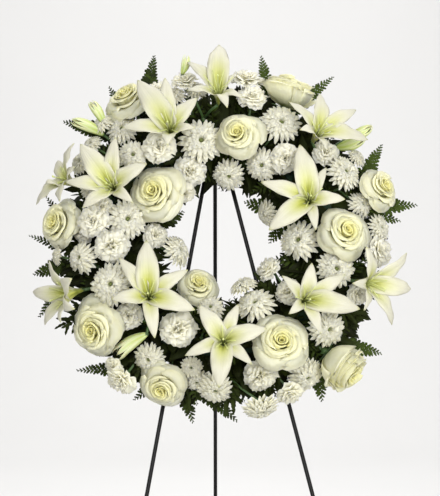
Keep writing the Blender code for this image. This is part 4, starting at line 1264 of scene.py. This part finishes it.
tray = {
    "section": (  # from the ring's centre line outwards in the wreath's plane, out
        (-42, -12), (-40.2, -12), (-40.2, -34), (40.2, -34), (40.2, -12), (42, -12),
        (42, -36), (25, -36), (23.5, -35), (-23.5, -35), (-25, -36), (-42, -36),
    ),
    "steps": 112,
    "edge": 0.6,
}


def makeTray():
    radius = wreath["ringRadius"]
    section = [(radius + across, 0, out) for across, out in tray["section"]]
    mesh = bpy.data.meshes.new("ringTray")
    count = len(section)
    mesh.from_pydata(section, [(i, (i + 1) % count) for i in range(count)], [])
    piece = linked("ringTray", mesh)
    deselectAll()
    piece.select_set(True)
    bpy.context.view_layer.objects.active = piece
    switchTo("EDIT")
    bpy.ops.mesh.select_all(action="SELECT")
    bpy.ops.mesh.spin(steps=tray["steps"], angle=2 * pi, center=(0, 0, 0), axis=(0, 0, 1))
    bpy.ops.mesh.select_all(action="SELECT")
    bpy.ops.mesh.remove_doubles(threshold=0.01)
    bpy.ops.mesh.normals_make_consistent(inside=False)
    switchTo("OBJECT")
    applied("BEVEL", width=tray["edge"], segments=2, limit_method="ANGLE", angle_limit=radians(20))
    spots = np.array([tuple(vertex.co) for vertex in mesh.vertices])
    mesh.vertices.foreach_set("co", place(spots).reshape(-1))
    mesh.shade_smooth()
    mesh.update()
    mesh.materials.append(looks["tray"])
    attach(piece, "root")
    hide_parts("ring_tray")
    print("tray made")


makeTray()

# Easel and foam keep their shapes
easel = {
    "steel": ("front_leg_left", "front_leg_right", "easel_head", "back_leg", "hook_bar"),
    "zinc": ("hinge_pin",),
    "foam": ("foam_ring",),
}
for finish, nodes in easel.items():
    for node in nodes:
        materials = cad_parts[node].data.materials
        materials.clear()
        materials.append(looks[finish])
print("easel finished")


# Room, light and camera

studio = {
    "wallBehind": 7.5,
    "wallHeight": 8.0,
    "coveRadius": 3.0,
    "halfWidth": 9.0,
    "paper": (0.66, 0.656, 0.65),
    "worldStrength": 0.55,
    "lights": (  # name, place, aims at, size, watts
        ("keyLight", (-0.9, -3.7, 2.3), (0, 0, 0.95), 1.8, 54),
        ("fillLight", (1.6, -3.5, 1.3), (0, 0, 0.95), 2.2, 114),
        ("topLight", (0, 0.2, 3.2), (0, 0, 0.95), 2.0, 22),
        ("wallLight", (0, 2.6, 4.6), (0, 6.5, 0.8), 2.4, 220),
    ),
    "cameraPlace": (-0.0055, -3.2559, 0.9676),
    "lens": 124.4,
}


def paperFinish():
    f = Finish("paleBackdrop", Roughness=0.9)
    darker = tuple(part * 0.97 for part in studio["paper"])
    f.feed("Base Color", f.mix(f.noise(1.5), studio["paper"], darker))
    return f.material


def selectEdges(item, wanted):
    switchTo("OBJECT")
    for edge in item.data.edges:
        edge.select = all(wanted(item.data.vertices[v].co) for v in edge.vertices)
    switchTo("EDIT")


def makeBackdrop():
    deselectAll()
    bpy.ops.mesh.primitive_plane_add(size=2, location=(0, 0, 0))
    paper = bpy.context.object
    paper.name = "backdrop"
    bpy.ops.transform.resize(value=(studio["halfWidth"], studio["wallBehind"], 1))
    bpy.ops.object.transform_apply(location=True, rotation=True, scale=True)
    switchTo("EDIT")
    bpy.ops.mesh.select_all(action="DESELECT")
    back = studio["wallBehind"] - 0.01
    selectEdges(paper, lambda spot: spot.y > back)
    bpy.ops.mesh.select_mode(type="EDGE")
    bpy.ops.mesh.extrude_region_move(TRANSFORM_OT_translate={"value": (0, 0, studio["wallHeight"])})
    selectEdges(paper, lambda spot: spot.y > back and spot.z < 0.01)
    bpy.ops.mesh.bevel(offset=studio["coveRadius"], segments=24, affect="EDGES")
    switchTo("OBJECT")
    paper.data.shade_smooth()
    paper.data.materials.append(paperFinish())


def makeLights():
    for name, spot, target, size, watts in studio["lights"]:
        light = bpy.data.lights.new(name, "AREA")
        light.size = size
        light.energy = watts
        lamp = linked(name, light)
        aim = np.array(target, float) - np.array(spot, float)
        level = hypot(aim[0], aim[1])
        lamp.location = spot
        lamp.rotation_euler = (atan2(level, -aim[2]), 0, atan2(-aim[0], aim[1]))
    world = bpy.data.worlds.new("paleRoom")
    world.use_nodes = True
    background = world.node_tree.nodes["Background"]
    background.inputs["Color"].default_value = (1, 0.995, 0.985, 1)
    background.inputs["Strength"].default_value = studio["worldStrength"]
    bpy.context.scene.world = world


def makeCamera():
    camera = bpy.data.cameras.new("camera")
    camera.sensor_fit = "VERTICAL"
    camera.sensor_height = 36
    camera.lens = studio["lens"]
    eye = linked("camera", camera)
    eye.location = studio["cameraPlace"]
    eye.rotation_euler = (pi / 2, 0, 0)
    bpy.context.scene.camera = eye


makeBackdrop()
makeLights()
makeCamera()
bpy.context.scene.view_settings.view_transform = "Standard"
print("room, lights and camera set")
